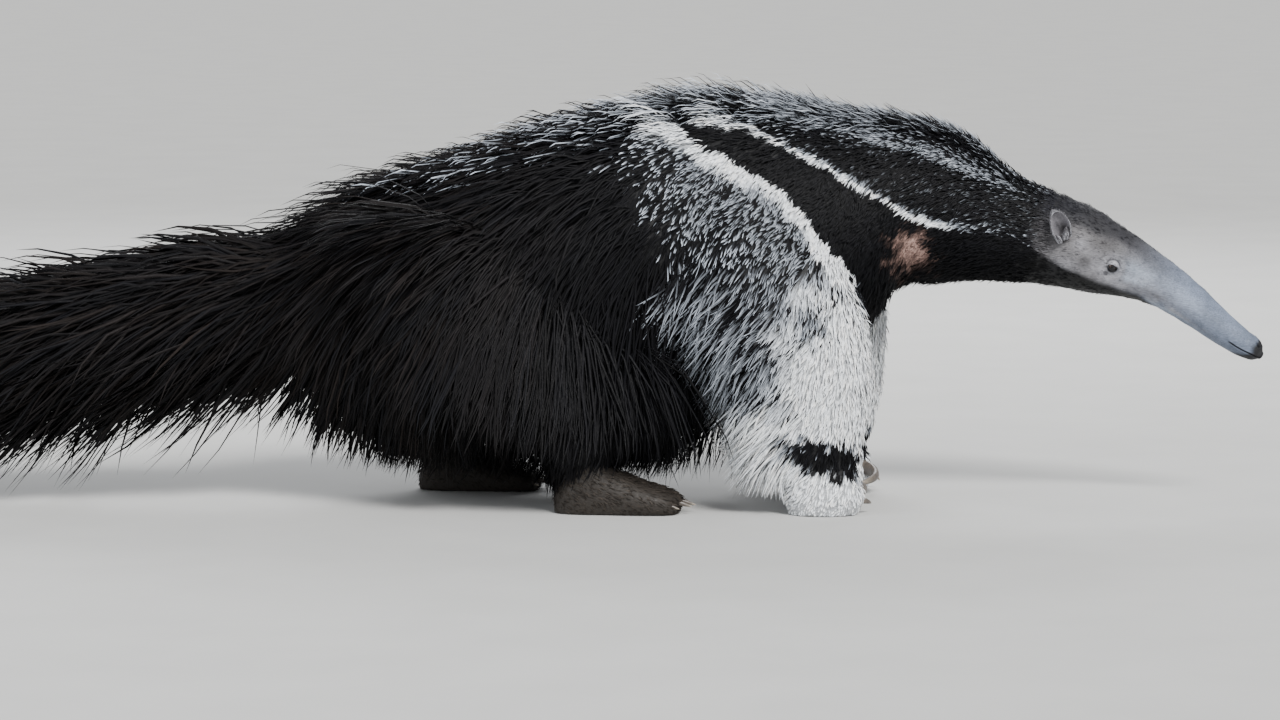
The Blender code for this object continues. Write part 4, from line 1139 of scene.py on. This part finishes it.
def tuft_faces(rings):
    """The triangles of one tuft: three points to a ring, closed at the root, and a tip."""
    faces = [(0, 2, 1)]
    for k in range(rings - 1):
        for i in range(3):
            j = (i + 1) % 3
            a, b, c, d = k * 3 + i, k * 3 + j, k * 3 + 3 + j, k * 3 + 3 + i
            faces += [(a, b, c), (a, c, d)]
    end = (rings - 1) * 3
    for i in range(3):
        faces.append((end + i, end + (i + 1) % 3, rings * 3))
    return np.array(faces)


def outward_faces(points, faces):
    """Every tuft's own triangles, turned about where they enclose a negative volume."""
    corner = points[:, faces]
    start = corner[:, :1, 0]
    one, other = corner[:, :, 0] - start, corner[:, :, 1] - start
    volume = dot(np.cross(one, other), corner[:, :, 2] - start).sum(1)
    count, each = points.shape[:2]
    index = faces[None] + (np.arange(count) * each)[:, None, None]
    return np.where((volume < 0)[:, None, None], index[:, :, ::-1], index)


def tuft_shapes(p, rings, made, across, width, draw):
    """The points of tufts along their middle lines, and the ways that they are shaded to face."""
    count, normals = len(p.x), p.normals
    roll = draw.normal(0, ROLL, count)[:, None] * np.where(p.head, HEAD_ROLL, 1)[:, None]
    flatness = FLATNESS * np.where(p.head, HEAD_FLATNESS, 1)[:, None]
    across = unit(across * np.cos(roll) + normals * np.sin(roll))
    points = np.empty((count, rings * 3 + 1, 3))
    points[:, -1] = made[:, -1]
    shading = np.repeat(normals[:, None], rings * 3 + 1, 1)
    for k in range(rings):
        way = unit(made[:, k + 1] - made[:, k])
        wide = (width * WIDTHS[rings][k])[:, None]
        through = unit(np.cross(way, across))
        through = through * np.sign(dot(through, normals) + 1e-9)[:, None]
        points[:, k * 3] = made[:, k] + across * wide / 2
        points[:, k * 3 + 1] = made[:, k] + through * wide * flatness
        points[:, k * 3 + 2] = made[:, k] - across * wide / 2
        shading[:, k * 3] += across * ROUNDNESS[rings]
        shading[:, k * 3 + 1] += through * ROUNDNESS[rings]
        shading[:, k * 3 + 2] -= across * ROUNDNESS[rings]
    points[..., 2] = np.maximum(points[..., 2], SOLE_LEVEL)
    return points, unit(shading)


def tuft_patch(rings):
    """One tuft's patch of the OFBake map, round its root's place."""
    patch = np.zeros((rings * 3 + 1, 2))
    for k, share in enumerate(RINGS[rings]):
        patch[k * 3 : k * 3 + 3, 0] = (-0.5, 0.0, 0.5)
        patch[k * 3 : k * 3 + 3, 1] = (share, share + 0.12, share)
    patch[-1] = (0.0, 1.1)
    return patch * PATCH


def tufts(name, p, rings, length, width, droop, lie, colour, draw):
    """Sets one tapered, bending tuft on each place, with its colours and its place on the map."""
    count = len(p.x)
    made, across = paths(p, rings, length, droop, lie, draw)
    points, shading = tuft_shapes(p, rings, made, across, width, draw)
    index = outward_faces(points, tuft_faces(rings))
    tuft = mesh_of(name, points.reshape(-1, 3), index.reshape(-1, 3))
    tuft.data.normals_split_custom_set_from_vertices(shading.reshape(-1, 3))
    reach = (made[:, -1] - made[:, 0]) * SEEN_SHARE
    seen = Places(p.points + reach, p.normals, like=p)
    speck = 1 / (1 + np.exp(-SPECK_CONTRAST * speck_waves.at(made[:, -1])))
    together = draw.uniform(0, 1, count) < SPECKED
    seen.chance = np.where(together, speck, draw.uniform(0, 1, count))
    tones = np.stack(colour(p, seen, rings, draw), 1)
    painted(tuft, np.repeat(tones, [3] * rings + [1], 1).reshape(-1, 3))
    places = (unwrapped(p)[:, None] + tuft_patch(rings)[None]).reshape(-1, 2)
    layer = tuft.data.uv_layers.new(name="OFBake")
    layer.data.foreach_set("uv", places[index.reshape(-1)].astype(np.float32).ravel())
    return tuft


def unwrapped(p):
    """Each place on an unwrap of the skin: round the body or a leg, and along it."""
    limb = p.leg >= 0
    across = np.where(limb, p.leg_turn, p.around) / 360 + 0.5
    along = np.where(limb, p.z, p.along)
    low, high = along.min(), along.max()
    along = (along - low) / max(high - low, 1e-6)
    span = across.max() - across.min()
    across = (across - across.min()) / max(span, 1e-6)
    return np.stack((across, along), -1) * (MAP_SPAN - 2 * PATCH) + PATCH + MAP_START


def hair_colours(p, seen, rings, draw):
    """Colours from root to tip: white-tipped hairs among dark ones, or the face's own."""
    count = len(p.x)
    pale = paleness(seen)
    white = seen.chance < pale
    tone = draw.normal(1, 0.12, count).clip(0.6, 1.3)[:, None]
    dark = dark_colour(seen) * draw.uniform(0.5, 1.6, count)[:, None]
    full = smooth(0.62, 0.98, pale)[:, None]
    sparse = smooth(0.50, 0.25, pale)[:, None]
    light = np.clip((FLECK + (WHITE - FLECK) * full) * tone * brightness(seen)[:, None], 0, 0.95)
    head = (smooth(26.5, 23.5, p.along) * (p.leg < 0))[:, None]
    uneven = 0.07 + 0.11 * smooth(8, 18, p.along)
    face = face_colour(seen) * (1 + uneven * draw.uniform(-1, 1, count))[:, None]
    bare = (worn(p) * draw.uniform(0.3, 1.0, count))[:, None]
    made = []
    for share in RINGS[rings] + (1.0,):
        tip = smooth(0.42 + 0.12 * sparse, 0.93, share)
        base = (1 - full) * tip + full * (0.60 + 0.40 * smooth(0.0, 0.5, share))
        colour = np.where(white[:, None], dark + (light - dark) * base, dark)
        colour = colour + (face - colour) * head
        made.append(colour + (BARE * tone * 0.8 - colour) * bare)
    return made


# The materials.


def new_material(name, specular=0.5):
    """A material, its node tree and the inputs of its shader."""
    made = bpy.data.materials.new(name)
    made.use_nodes = True
    tree = made.node_tree
    shader = tree.nodes["Principled BSDF"]
    shader.inputs["Specular IOR Level"].default_value = specular
    return made, tree, shader.inputs


def node_of(tree, kind, **inputs):
    """A new node. Each input is a value or another node's output, by its name."""
    node = tree.nodes.new(kind)
    for name, value in inputs.items():
        socket = node.inputs[name.replace("_", " ")]
        if isinstance(value, bpy.types.NodeSocket):
            tree.links.new(value, socket)
        else:
            socket.default_value = value
    return node


def noise(tree, scale, detail=4.0, stretch=(1, 1, 1), turn=(0, 0, 0)):
    """Noise in the object's own space, stretched and turned."""
    place = tree.nodes.new("ShaderNodeTexCoord").outputs["Object"]
    shift = node_of(tree, "ShaderNodeMapping", Vector=place, Scale=stretch, Rotation=turn)
    inputs = {"Vector": shift.outputs["Vector"], "Scale": scale, "Detail": detail}
    return node_of(tree, "ShaderNodeTexNoise", **inputs, Roughness=0.55).outputs["Fac"]


def ranged(tree, grain, low, high):
    """Spreads the middle of a noise's range from low to high."""
    limits = {"From_Min": 0.3, "From_Max": 0.7, "To_Min": low, "To_Max": high}
    return node_of(tree, "ShaderNodeMapRange", Value=grain, **limits).outputs["Result"]


def tinted(tree, colour, factor):
    """Multiplies a colour by a number."""
    node = tree.nodes.new("ShaderNodeVectorMath")
    node.operation = "SCALE"
    tree.links.new(colour, node.inputs[0])
    tree.links.new(factor, node.inputs["Scale"])
    return node.outputs["Vector"]


def own_colour(tree):
    """The colours that a piece has at its vertices."""
    node = tree.nodes.new("ShaderNodeAttribute")
    node.attribute_name = "Coat"
    return node.outputs["Color"]


def bumped(tree, height, strength, distance, **after):
    """Bumps from a height, laid over those of another node where one is given."""
    inputs = {"Height": height, "Strength": strength, "Distance": distance}
    return node_of(tree, "ShaderNodeBump", **inputs, **after).outputs["Normal"]


def coat_material():
    made, tree, inputs = new_material("coat_hair", 0.11)
    shade = ranged(tree, noise(tree, 260, 3), 0.72, 1.25)
    tree.links.new(tinted(tree, own_colour(tree), shade), inputs["Base Color"])
    tree.links.new(ranged(tree, noise(tree, 420, 2), 0.48, 0.70), inputs["Roughness"])
    return made


def skin_material():
    made, tree, inputs = new_material("skin_fur", 0.30)
    streaks = noise(tree, 900, 3, (0.20, 1, 1), (0, math.radians(-34), 0))
    shade = ranged(tree, streaks, 0.70, 1.28)
    tree.links.new(tinted(tree, own_colour(tree), shade), inputs["Base Color"])
    tree.links.new(ranged(tree, noise(tree, 300, 3), 0.48, 0.72), inputs["Roughness"])
    creases = bumped(tree, noise(tree, 190, 6), 0.22, 0.0012)
    tree.links.new(bumped(tree, streaks, 0.55, 0.0007, Normal=creases), inputs["Normal"])
    return made


def claw_material():
    made, tree, inputs = new_material("claw_horn")
    grain = noise(tree, 240, 5, (1, 1, 0.25))
    shade = ranged(tree, grain, 0.65, 1.4)
    tree.links.new(tinted(tree, own_colour(tree), shade), inputs["Base Color"])
    tree.links.new(ranged(tree, grain, 0.28, 0.48), inputs["Roughness"])
    tree.links.new(bumped(tree, grain, 0.35, 0.0006), inputs["Normal"])
    return made


def eye_material():
    made, tree, inputs = new_material("eye_wet")
    flecks = ranged(tree, noise(tree, 1400, 4), 0.75, 1.3)
    tree.links.new(tinted(tree, own_colour(tree), flecks), inputs["Base Color"])
    inputs["Roughness"].default_value = 0.05
    return made


def floor_material():
    made, tree, inputs = new_material("floor_pale")
    speck = ranged(tree, noise(tree, 6, 3), 0.97, 1.03)
    tone = tree.nodes.new("ShaderNodeRGB").outputs[0]
    tone.default_value = (0.52, 0.52, 0.51, 1)
    tree.links.new(tinted(tree, tone, speck), inputs["Base Color"])
    inputs["Roughness"].default_value = 0.9
    return made


# Eyes, ears and claws.

IRIS = np.array((0.030, 0.014, 0.007))
PUPIL = np.array((0.003, 0.003, 0.004))
EYE_WHITE = np.array((0.055, 0.042, 0.038))


def eye(name, side):
    """A dark eye: a wide pupil in a dark brown iris, under a slightly bulging cornea."""
    centre, out, _, top = eye_place(side)
    made = ellipsoid(name, Vector(centre), (EYE_RADIUS,) * 3, facing(out, top), 64, 72)
    points = places_of(made) - centre
    facing_out = dot(unit(points), out)
    bulge = 0.0004 * smooth(0.80, 0.95, facing_out)
    points = centre + unit(points) * (EYE_RADIUS - 0.0001 + bulge)[:, None]
    made.data.vertices.foreach_set("co", points.astype(np.float32).ravel())
    iris = smooth(0.780, 0.800, facing_out)[:, None]
    pupil = smooth(0.925, 0.940, facing_out)[:, None]
    colours = EYE_WHITE + (IRIS - EYE_WHITE) * iris
    painted(made, colours + (PUPIL - colours) * pupil)
    return made


EAR_WALL = 0.0022
EAR_INSIDE = np.array((0.215, 0.208, 0.228))
EAR_OUTSIDE = np.array((0.100, 0.097, 0.106))
EAR_RIM = np.array((0.275, 0.275, 0.300))
EAR_LOBE = -0.62  # how far the ear's root lies below its middle, as a share of half its height
# Lumps at the ear's mouth: places across and up it, size and length.
EAR_LUMPS = ((0.30, -0.40, 0.0048, 1.7), (-0.40, -0.50, 0.0040, 1.6), (-0.02, -0.52, 0.0034, 1.2))
EAR_BACK = 0.0045  # how far behind its mouth the ear's middle lies
EAR_NARROWER = 0.90  # the ear within its fur


def ear_place(side):
    """Middle of an ear, the way it opens, the way across it, and the way up."""
    root = trunk_point(np.array(EAR_ALONG), np.array(side * EAR_AROUND))
    turn = facing((0.40, side * 0.88, -0.25), Vector((-0.30, side * 0.42, 0.86)).normalized())
    opening, left, up = (np.array(turn.col[k][:3]) for k in range(3))
    return root + up * EAR_HEIGHT / 2 * 0.80, opening, left, up


def ear_grid(side):
    """How far the points of an ear's cup lie ahead, aside and up from its middle."""
    rows, sides = 52, 44
    height = np.linspace(EAR_LOBE, 1.0, rows)
    high = np.clip(height, 0, 1)
    half = EAR_WIDTH / 2 * EAR_NARROWER * np.sqrt(np.clip(1 - high**2.3, 0, 1))
    half = np.maximum(half * np.where(height < 0, 1 - 0.42 * np.abs(height) ** 1.2, 1), 0.0006)
    deep = EAR_THICKNESS * (0.95 - 0.35 * high)
    turn = np.linspace(-math.pi / 2, math.pi / 2, sides)
    wall = EAR_WALL * (1 - 0.35 * high)
    flare = 1 + 0.07 * np.sin(turn * 3 + 0.6)[None] * high[:, None]
    outer_y = half[:, None] * np.sin(turn) * flare
    outer_x = EAR_BACK - deep[:, None] * np.cos(turn)
    inner = turn[::-1]
    # two soft ridges run up the inside, one of them slanting
    slanting = bell(inner[None] + 0.35 * height[:, None], 0.25, 0.16)
    ridge = 0.0011 * (slanting + bell(inner[None], -0.75, 0.14))
    thin = np.maximum(deep - wall * 1.2, 0.001)[:, None]
    inner_y = np.maximum(half - wall, 0.0003)[:, None] * np.sin(inner) * flare[:, ::-1]
    inner_x = EAR_BACK - thin * np.cos(inner) + ridge * (1 - high[:, None] ** 3)
    rim_y = (half - wall / 2)[:, None]
    rim_x = np.full((rows, 1), EAR_BACK + EAR_WALL * 0.45)
    y = np.concatenate((outer_y, rim_y, inner_y, -rim_y), 1)
    x = np.concatenate((outer_x, rim_x, inner_x, rim_x), 1)
    # the rim curls: it leans back at the top, and forward along the front edge
    front = np.clip(y / (EAR_WIDTH / 2), -1, 1) ** 2 * (y * side > 0)
    x = x - 0.0035 * (high**2)[:, None] + 0.0030 * front
    return x, y, np.broadcast_to((height * EAR_HEIGHT / 2)[:, None], x.shape)


def ear_shades(points, opening, left, up, side):
    """Dark fur outside, a pale inside with painted shade in its deep hollow and down the middle of
    the cup, and a pale rim and lumps.
    """
    inwards, aside, level = dot(points, opening), dot(points, left), dot(points, up)
    across = np.abs(aside) / (EAR_WIDTH / 2 * EAR_NARROWER)
    level = level / (EAR_HEIGHT / 2)
    lump = smooth(-0.16, -0.30, level) * smooth(-0.0015, 0.0010, inwards)
    inside = ((inwards > -0.0105) & (across < 0.86) & (level < 0.92)).astype(float)
    forward = aside * side / (EAR_WIDTH / 2)
    # painted shade: dark in the hollow at the lower back of the cup, and lighter down its middle
    shade = 1 - 0.85 * bell(level, -0.28, 0.34) * bell(forward, -0.42, 0.40)
    shade = shade * (1 - 0.35 * bell(level, 0.10, 0.40) * bell(forward, 0.05, 0.40))
    rim = np.maximum(smooth(0.74, 0.95, np.maximum(across, level)), 0.9 * lump)[:, None]
    colours = EAR_OUTSIDE + (EAR_INSIDE * shade[:, None] - EAR_OUTSIDE) * inside[:, None]
    return colours + (EAR_RIM - colours) * rim


def ear(name, side):
    """A rounded cup with a thick rim, narrowing to its root, with folds and lumps at its mouth."""
    middle, opening, left, up = ear_place(side)
    x, y, z = (apart[..., None] for apart in ear_grid(side))
    made = loft(name, middle + opening * x + left * y + up * z)
    lumps = []
    for across, level, size, long in EAR_LUMPS:
        place = middle + left * across * EAR_WIDTH / 2 + up * level * EAR_HEIGHT / 2
        place = Vector(place + opening * 0.0030)
        radii = (size * 0.8, size * 0.75, size * long)
        lumps.append(ellipsoid("lump", place, radii, facing(opening, up + left * across * 0.5)))
    united(made, lumps)
    painted(made, ear_shades(places_of(made) - middle, opening, left, up, side))
    return made


EAR_TUFTS, EAR_FUR_LENGTH, EAR_FUR_WIDTH, EAR_SEED = 1300, 0.0045, 0.0006, 300


def ear_colours(p, seen, rings, draw):
    """Colours of an ear's fur, with the same arguments as those of the coat."""
    tone = draw.uniform(0.7, 1.3, len(p.x))[:, None]
    pale = (draw.uniform(0, 1, len(p.x)) < 0.15)[:, None] * 0.7
    colour = (EAR_OUTSIDE + (EAR_RIM - EAR_OUTSIDE) * pale) * tone
    return [colour] * (rings + 1)


def ear_fur(name, cup, side):
    """Short hair over the back and the rim of an ear, lying towards its tip."""
    own = Skin(cup)
    middle, opening, _, up = ear_place(side)
    apart = own.middles.points - middle
    outside = dot(own.middles.normals, unit(apart - up * dot(apart, up)[:, None])) > 0.2
    rim = dot(apart, opening) > 0.0025
    draw = np.random.default_rng(EAR_SEED + side)
    weight = np.where(outside, 1.0, 0.0) + 1.2 * rim
    p = own.roots(weight, EAR_TUFTS, draw)
    spread = unit(p.points - middle)
    lie = unit(up + 0.5 * spread)
    length = np.full(len(p.x), EAR_FUR_LENGTH)
    width = np.full(len(p.x), EAR_FUR_WIDTH)
    return tufts(name, p, 2, length, width, 0.0, lie, ear_colours, draw)


HORN = np.array((0.085, 0.072, 0.062))
HORN_TIP = np.array((0.30, 0.26, 0.21))


def claw_line(leg, shape, count):
    """Points down the middle of a claw, its directions aside and up, and its thickness."""
    forward, inward, up, length, radius, heading, curl, drop = shape
    # the middle line follows the same few straight steps as the solid's, rounded off
    coarse = 7 if leg["rows"] is FORELEG else 4
    corners = [np.array(foot_point(leg, forward, inward, up))]
    for i in range(coarse - 1):
        turn = math.radians(heading + curl * i / (coarse - 1))
        way = unit(np.array((math.cos(turn), -leg["side"] * math.sin(turn), -drop / length)))
        corners.append(corners[-1] + way * (length / (coarse - 1)))
    rows = np.column_stack((np.linspace(0, 1, coarse), np.array(corners)))
    share = np.linspace(0, 1, count)
    middle = np.stack(between(rows, share), -1)
    way = unit(np.gradient(middle, axis=0))
    aside = unit(np.cross(way, UP))
    thick = radius * (1 - 0.9 * share**1.4)
    thick[-3:] *= (0.85, 0.6, 0.15)
    return share, middle, aside, np.cross(aside, way), thick[:, None]


def claw(name, leg, shape, count=40, sides=24):
    """A curved, pointed claw, ridged along its length and worn pale at its point."""
    share, middle, aside, top, thick = claw_line(leg, shape, count)
    turn = np.radians(turns(sides))
    ridge = 1 + 0.025 * np.sin(turn * 6)
    wide = (thick * CLAW_FLATNESS * np.cos(turn) * ridge)[..., None]
    high = (thick * np.sin(turn) * ridge)[..., None]
    made = loft(name, middle[:, None] + aside[:, None] * wide + top[:, None] * high)
    points = places_of(made)
    nearest = np.argmin(np.linalg.norm(points[:, None] - middle[None], axis=-1), 1)
    worn_tip = smooth(0.62, 0.98, share[nearest])[:, None]
    horn = HORN * (1.25 - 0.4 * share[nearest])[:, None]
    painted(made, horn * (1 - worn_tip) + HORN_TIP * worn_tip)
    return made


# Making it all.

FLESH = [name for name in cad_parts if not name.startswith(("eye", "ear", "claw"))]
COAT_SEED = 100
# Where the pieces of the coat begin: places behind the nose, turns from the back, and a height.
NECK_START, SHOULDER_START, BELLY_START, BACK_START, TAIL_ROOT = 24.5, 44, 50, 52, 104
SIDE_START, BELOW_START, SHANK_TOP = 46, 150, 0.105
Coat = namedtuple("Coat", "name where thousands rings width droop slot")


def coats(m):
    """The pieces of the coat, with where each grows on the skin and how many tufts it has."""
    body = m.leg < 0
    high, below = m.turn < SIDE_START, m.turn >= BELOW_START
    neck = body & (m.along >= NECK_START) & (m.along < SHOULDER_START)
    # the long hair of the flank begins further forward on its lower half
    hanging = (m.along >= 57) & (m.turn >= 84) | (m.along >= 64)
    trunk = body & (m.along >= SHOULDER_START) & (m.along < TAIL_ROOT)
    back = trunk & (m.along >= BACK_START) & high
    belly = trunk & (m.along >= BELLY_START) & below
    flank = trunk & hanging & ~high & ~below
    shoulder = trunk & ~back & ~belly & ~flank
    thigh, shank = m.hind & (m.z >= SHANK_TOP), m.hind & (m.z < SHANK_TOP)
    # two numbers of tufts stand for a right and a left piece
    parts = (
        ("head", m.head & (m.along > 1.6), (12.6,), 2, 0.0011, 0.05, "face"),
        ("neck", neck, (11.8, 9.0), 2, 0.0018, 0.12, "coat_grizzled"),
        ("shoulder", shoulder, (12.6, 9.2), 2, 0.0019, 0.15, "coat_grizzled"),
        ("foreleg", m.fore, (10.6, 8.2), 2, 0.0020, 0.15, "coat_white"),
        ("back", back, (9.5,), 3, 0.0026, 0.20, "coat_black"),
        ("flank", flank, (8.2, 7.0), 3, 0.0030, 0.30, "coat_black"),
        ("belly", belly, (1.4,), 3, 0.0040, 0.30, "coat_black"),
        ("thigh", thigh, (3.2, 3.0), 3, 0.0030, 0.30, "coat_black"),
        ("shank", shank, (4.2, 4.0), 2, 0.0022, 0.10, "coat_black"),
        ("tail", m.tail, (4.1, 3.7), 4, 0.0044, 0.22, "coat_black"),
    )
    made = []
    for name, where, thousands, *rest in parts:
        if len(thousands) == 1:
            made.append(Coat(name, where, thousands[0], *rest))
            continue
        for word, half, share in zip(("right", "left"), (m.y < 0, m.y >= 0), thousands):
            made.append(Coat(f"{name}_{word}", where & half, share, *rest))
    return made


def coat_piece(skin, coat, seed):
    """Grows one piece of the coat: finer tufts over the face, the toes and near the shoulder."""
    share = 1.0
    draw = np.random.default_rng(seed)
    p = skin.roots(coat.where.astype(float), int(coat.thousands * 1000 * share), draw)
    width = coat.width * draw.uniform(0.75, 1.3, len(p.x)) / math.sqrt(share)
    width = width * np.where(p.head, 0.35 + 0.65 * smooth(2, 14, p.along), 1)
    width = width * np.where(p.foot & p.hind, 0.6, 1)
    if coat.rings == 3:
        width = width * (0.62 + 0.38 * smooth(-0.17, -0.26, p.x))
    shape = (coat.rings, length_of(p), width, coat.droop, lie_of(p))
    return tufts(f"coat_{coat.name}", p, *shape, hair_colours, draw)


def shift_to_frame():
    """The step that takes these coordinates to the frame's, from where the eyes lie in both."""
    here = (eye_place(1)[0] + eye_place(-1)[0]) / 2
    boxes = [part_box(f"eye_{word}") for word in ("right", "left")]
    there = np.mean([np.array((low + high) / 2) for low, high in boxes], axis=0)
    return np.array((there[0] - here[0], there[1] - here[1], 0.0))


def finished(made, material, nodes=()):
    """Moves a piece to its place, and gives it its material and body."""
    made.data.transform(Matrix.Translation(STEP))
    made.data.materials.clear()
    made.data.materials.append(material)
    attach(made, "root")
    if nodes:
        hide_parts(*nodes)
    return made


STEP = shift_to_frame()
coat_look, skin_look = coat_material(), skin_material()
claw_look, eye_look = claw_material(), eye_material()

skin_object = whole_skin()
skin = Skin(skin_object)
painted(skin_object, skin_colour(Places(skin.points, skin.normals)))
finished(skin_object, skin_look, FLESH)
for number, coat in enumerate(coats(skin.middles)):
    finished(coat_piece(skin, coat, COAT_SEED + number), coat_look)

for side, word in ((-1, "right"), (1, "left")):
    finished(eye(f"eye_ball_{word}", side), eye_look, (f"eye_{word}",))
    cup = ear(f"ear_cup_{word}", side)
    finished(ear_fur(f"ear_fur_{word}", cup, side), coat_look)
    finished(cup, skin_look, (f"ear_{word}",))
for leg_name, leg in LEGS.items():
    shapes = FORECLAWS if leg["rows"] is FORELEG else HINDCLAWS
    for digit, shape in shapes.items():
        made = claw(f"horn_{leg_name}_{digit}", leg, shape)
        finished(made, claw_look, (f"claw_{leg_name}_{digit}",))

# Floor, light and camera.

FLOOR_REACH = 150.0
LIT = Vector((0.1, 0.0, 0.25))
KEY_PLACE, KEY_POWER, KEY_ANGLE, KEY_COLOUR = (1.6, -3.2, 3.4), 5.2, 22, (1.0, 0.99, 0.97)
# The soft lamps: place, size, power and colour.
LAMPS = {
    "fill": ((-2.8, -3.0, 1.6), (2.8, 2.2), 80, (0.94, 0.97, 1.0)),
    "back": ((0.4, 3.4, 2.6), (3.0, 1.6), 120, (0.97, 0.98, 1.0)),
}
SKY, SKY_POWER = (0.78, 0.80, 0.83, 1), 0.62
LOOK_AT = (-0.20, -0.06, 0.185)
CAMERA_DISTANCE, CAMERA_RISE, FRAME_WIDTH, SENSOR_WIDTH = 6.0, 6.0, 1.6, 36


def aimed(name, data, place, way):
    """A lamp or a camera at a place, looking along a way."""
    made = linked(name, data)
    made.location = place
    made.rotation_mode = "QUATERNION"
    made.rotation_quaternion = way.to_track_quat("-Z", "Y")
    return made


corners = np.array(((-1, -1, 0), (1, -1, 0), (1, 1, 0), (-1, 1, 0)), float)
floor = mesh_of("floor", corners * FLOOR_REACH, np.array(((0, 1, 2, 3),)))
floor.data.materials.append(floor_material())

key = bpy.data.lights.new("key", "SUN")
key.energy, key.angle, key.color = KEY_POWER, math.radians(KEY_ANGLE), KEY_COLOUR
aimed("key", key, KEY_PLACE, LIT - Vector(KEY_PLACE))
for name, (place, size, power, colour) in LAMPS.items():
    lamp = bpy.data.lights.new(name, "AREA")
    lamp.shape = "RECTANGLE"
    lamp.size, lamp.size_y = size
    lamp.energy, lamp.color = power, colour
    aimed(name, lamp, place, LIT - Vector(place))

world = bpy.data.worlds.new("studio")
world.use_nodes = True
sky = world.node_tree.nodes["Background"].inputs
sky["Color"].default_value, sky["Strength"].default_value = SKY, SKY_POWER
bpy.context.scene.world = world

camera = bpy.data.cameras.new("camera")
camera.sensor_width = SENSOR_WIDTH
camera.lens = SENSOR_WIDTH * CAMERA_DISTANCE / FRAME_WIDTH
camera.dof.use_dof = False
rise = math.radians(CAMERA_RISE)
target = Vector(LOOK_AT) + Vector(STEP)
away = Vector((0, -math.cos(rise), math.sin(rise)))
bpy.context.scene.camera = aimed("camera", camera, target + away * CAMERA_DISTANCE, -away)
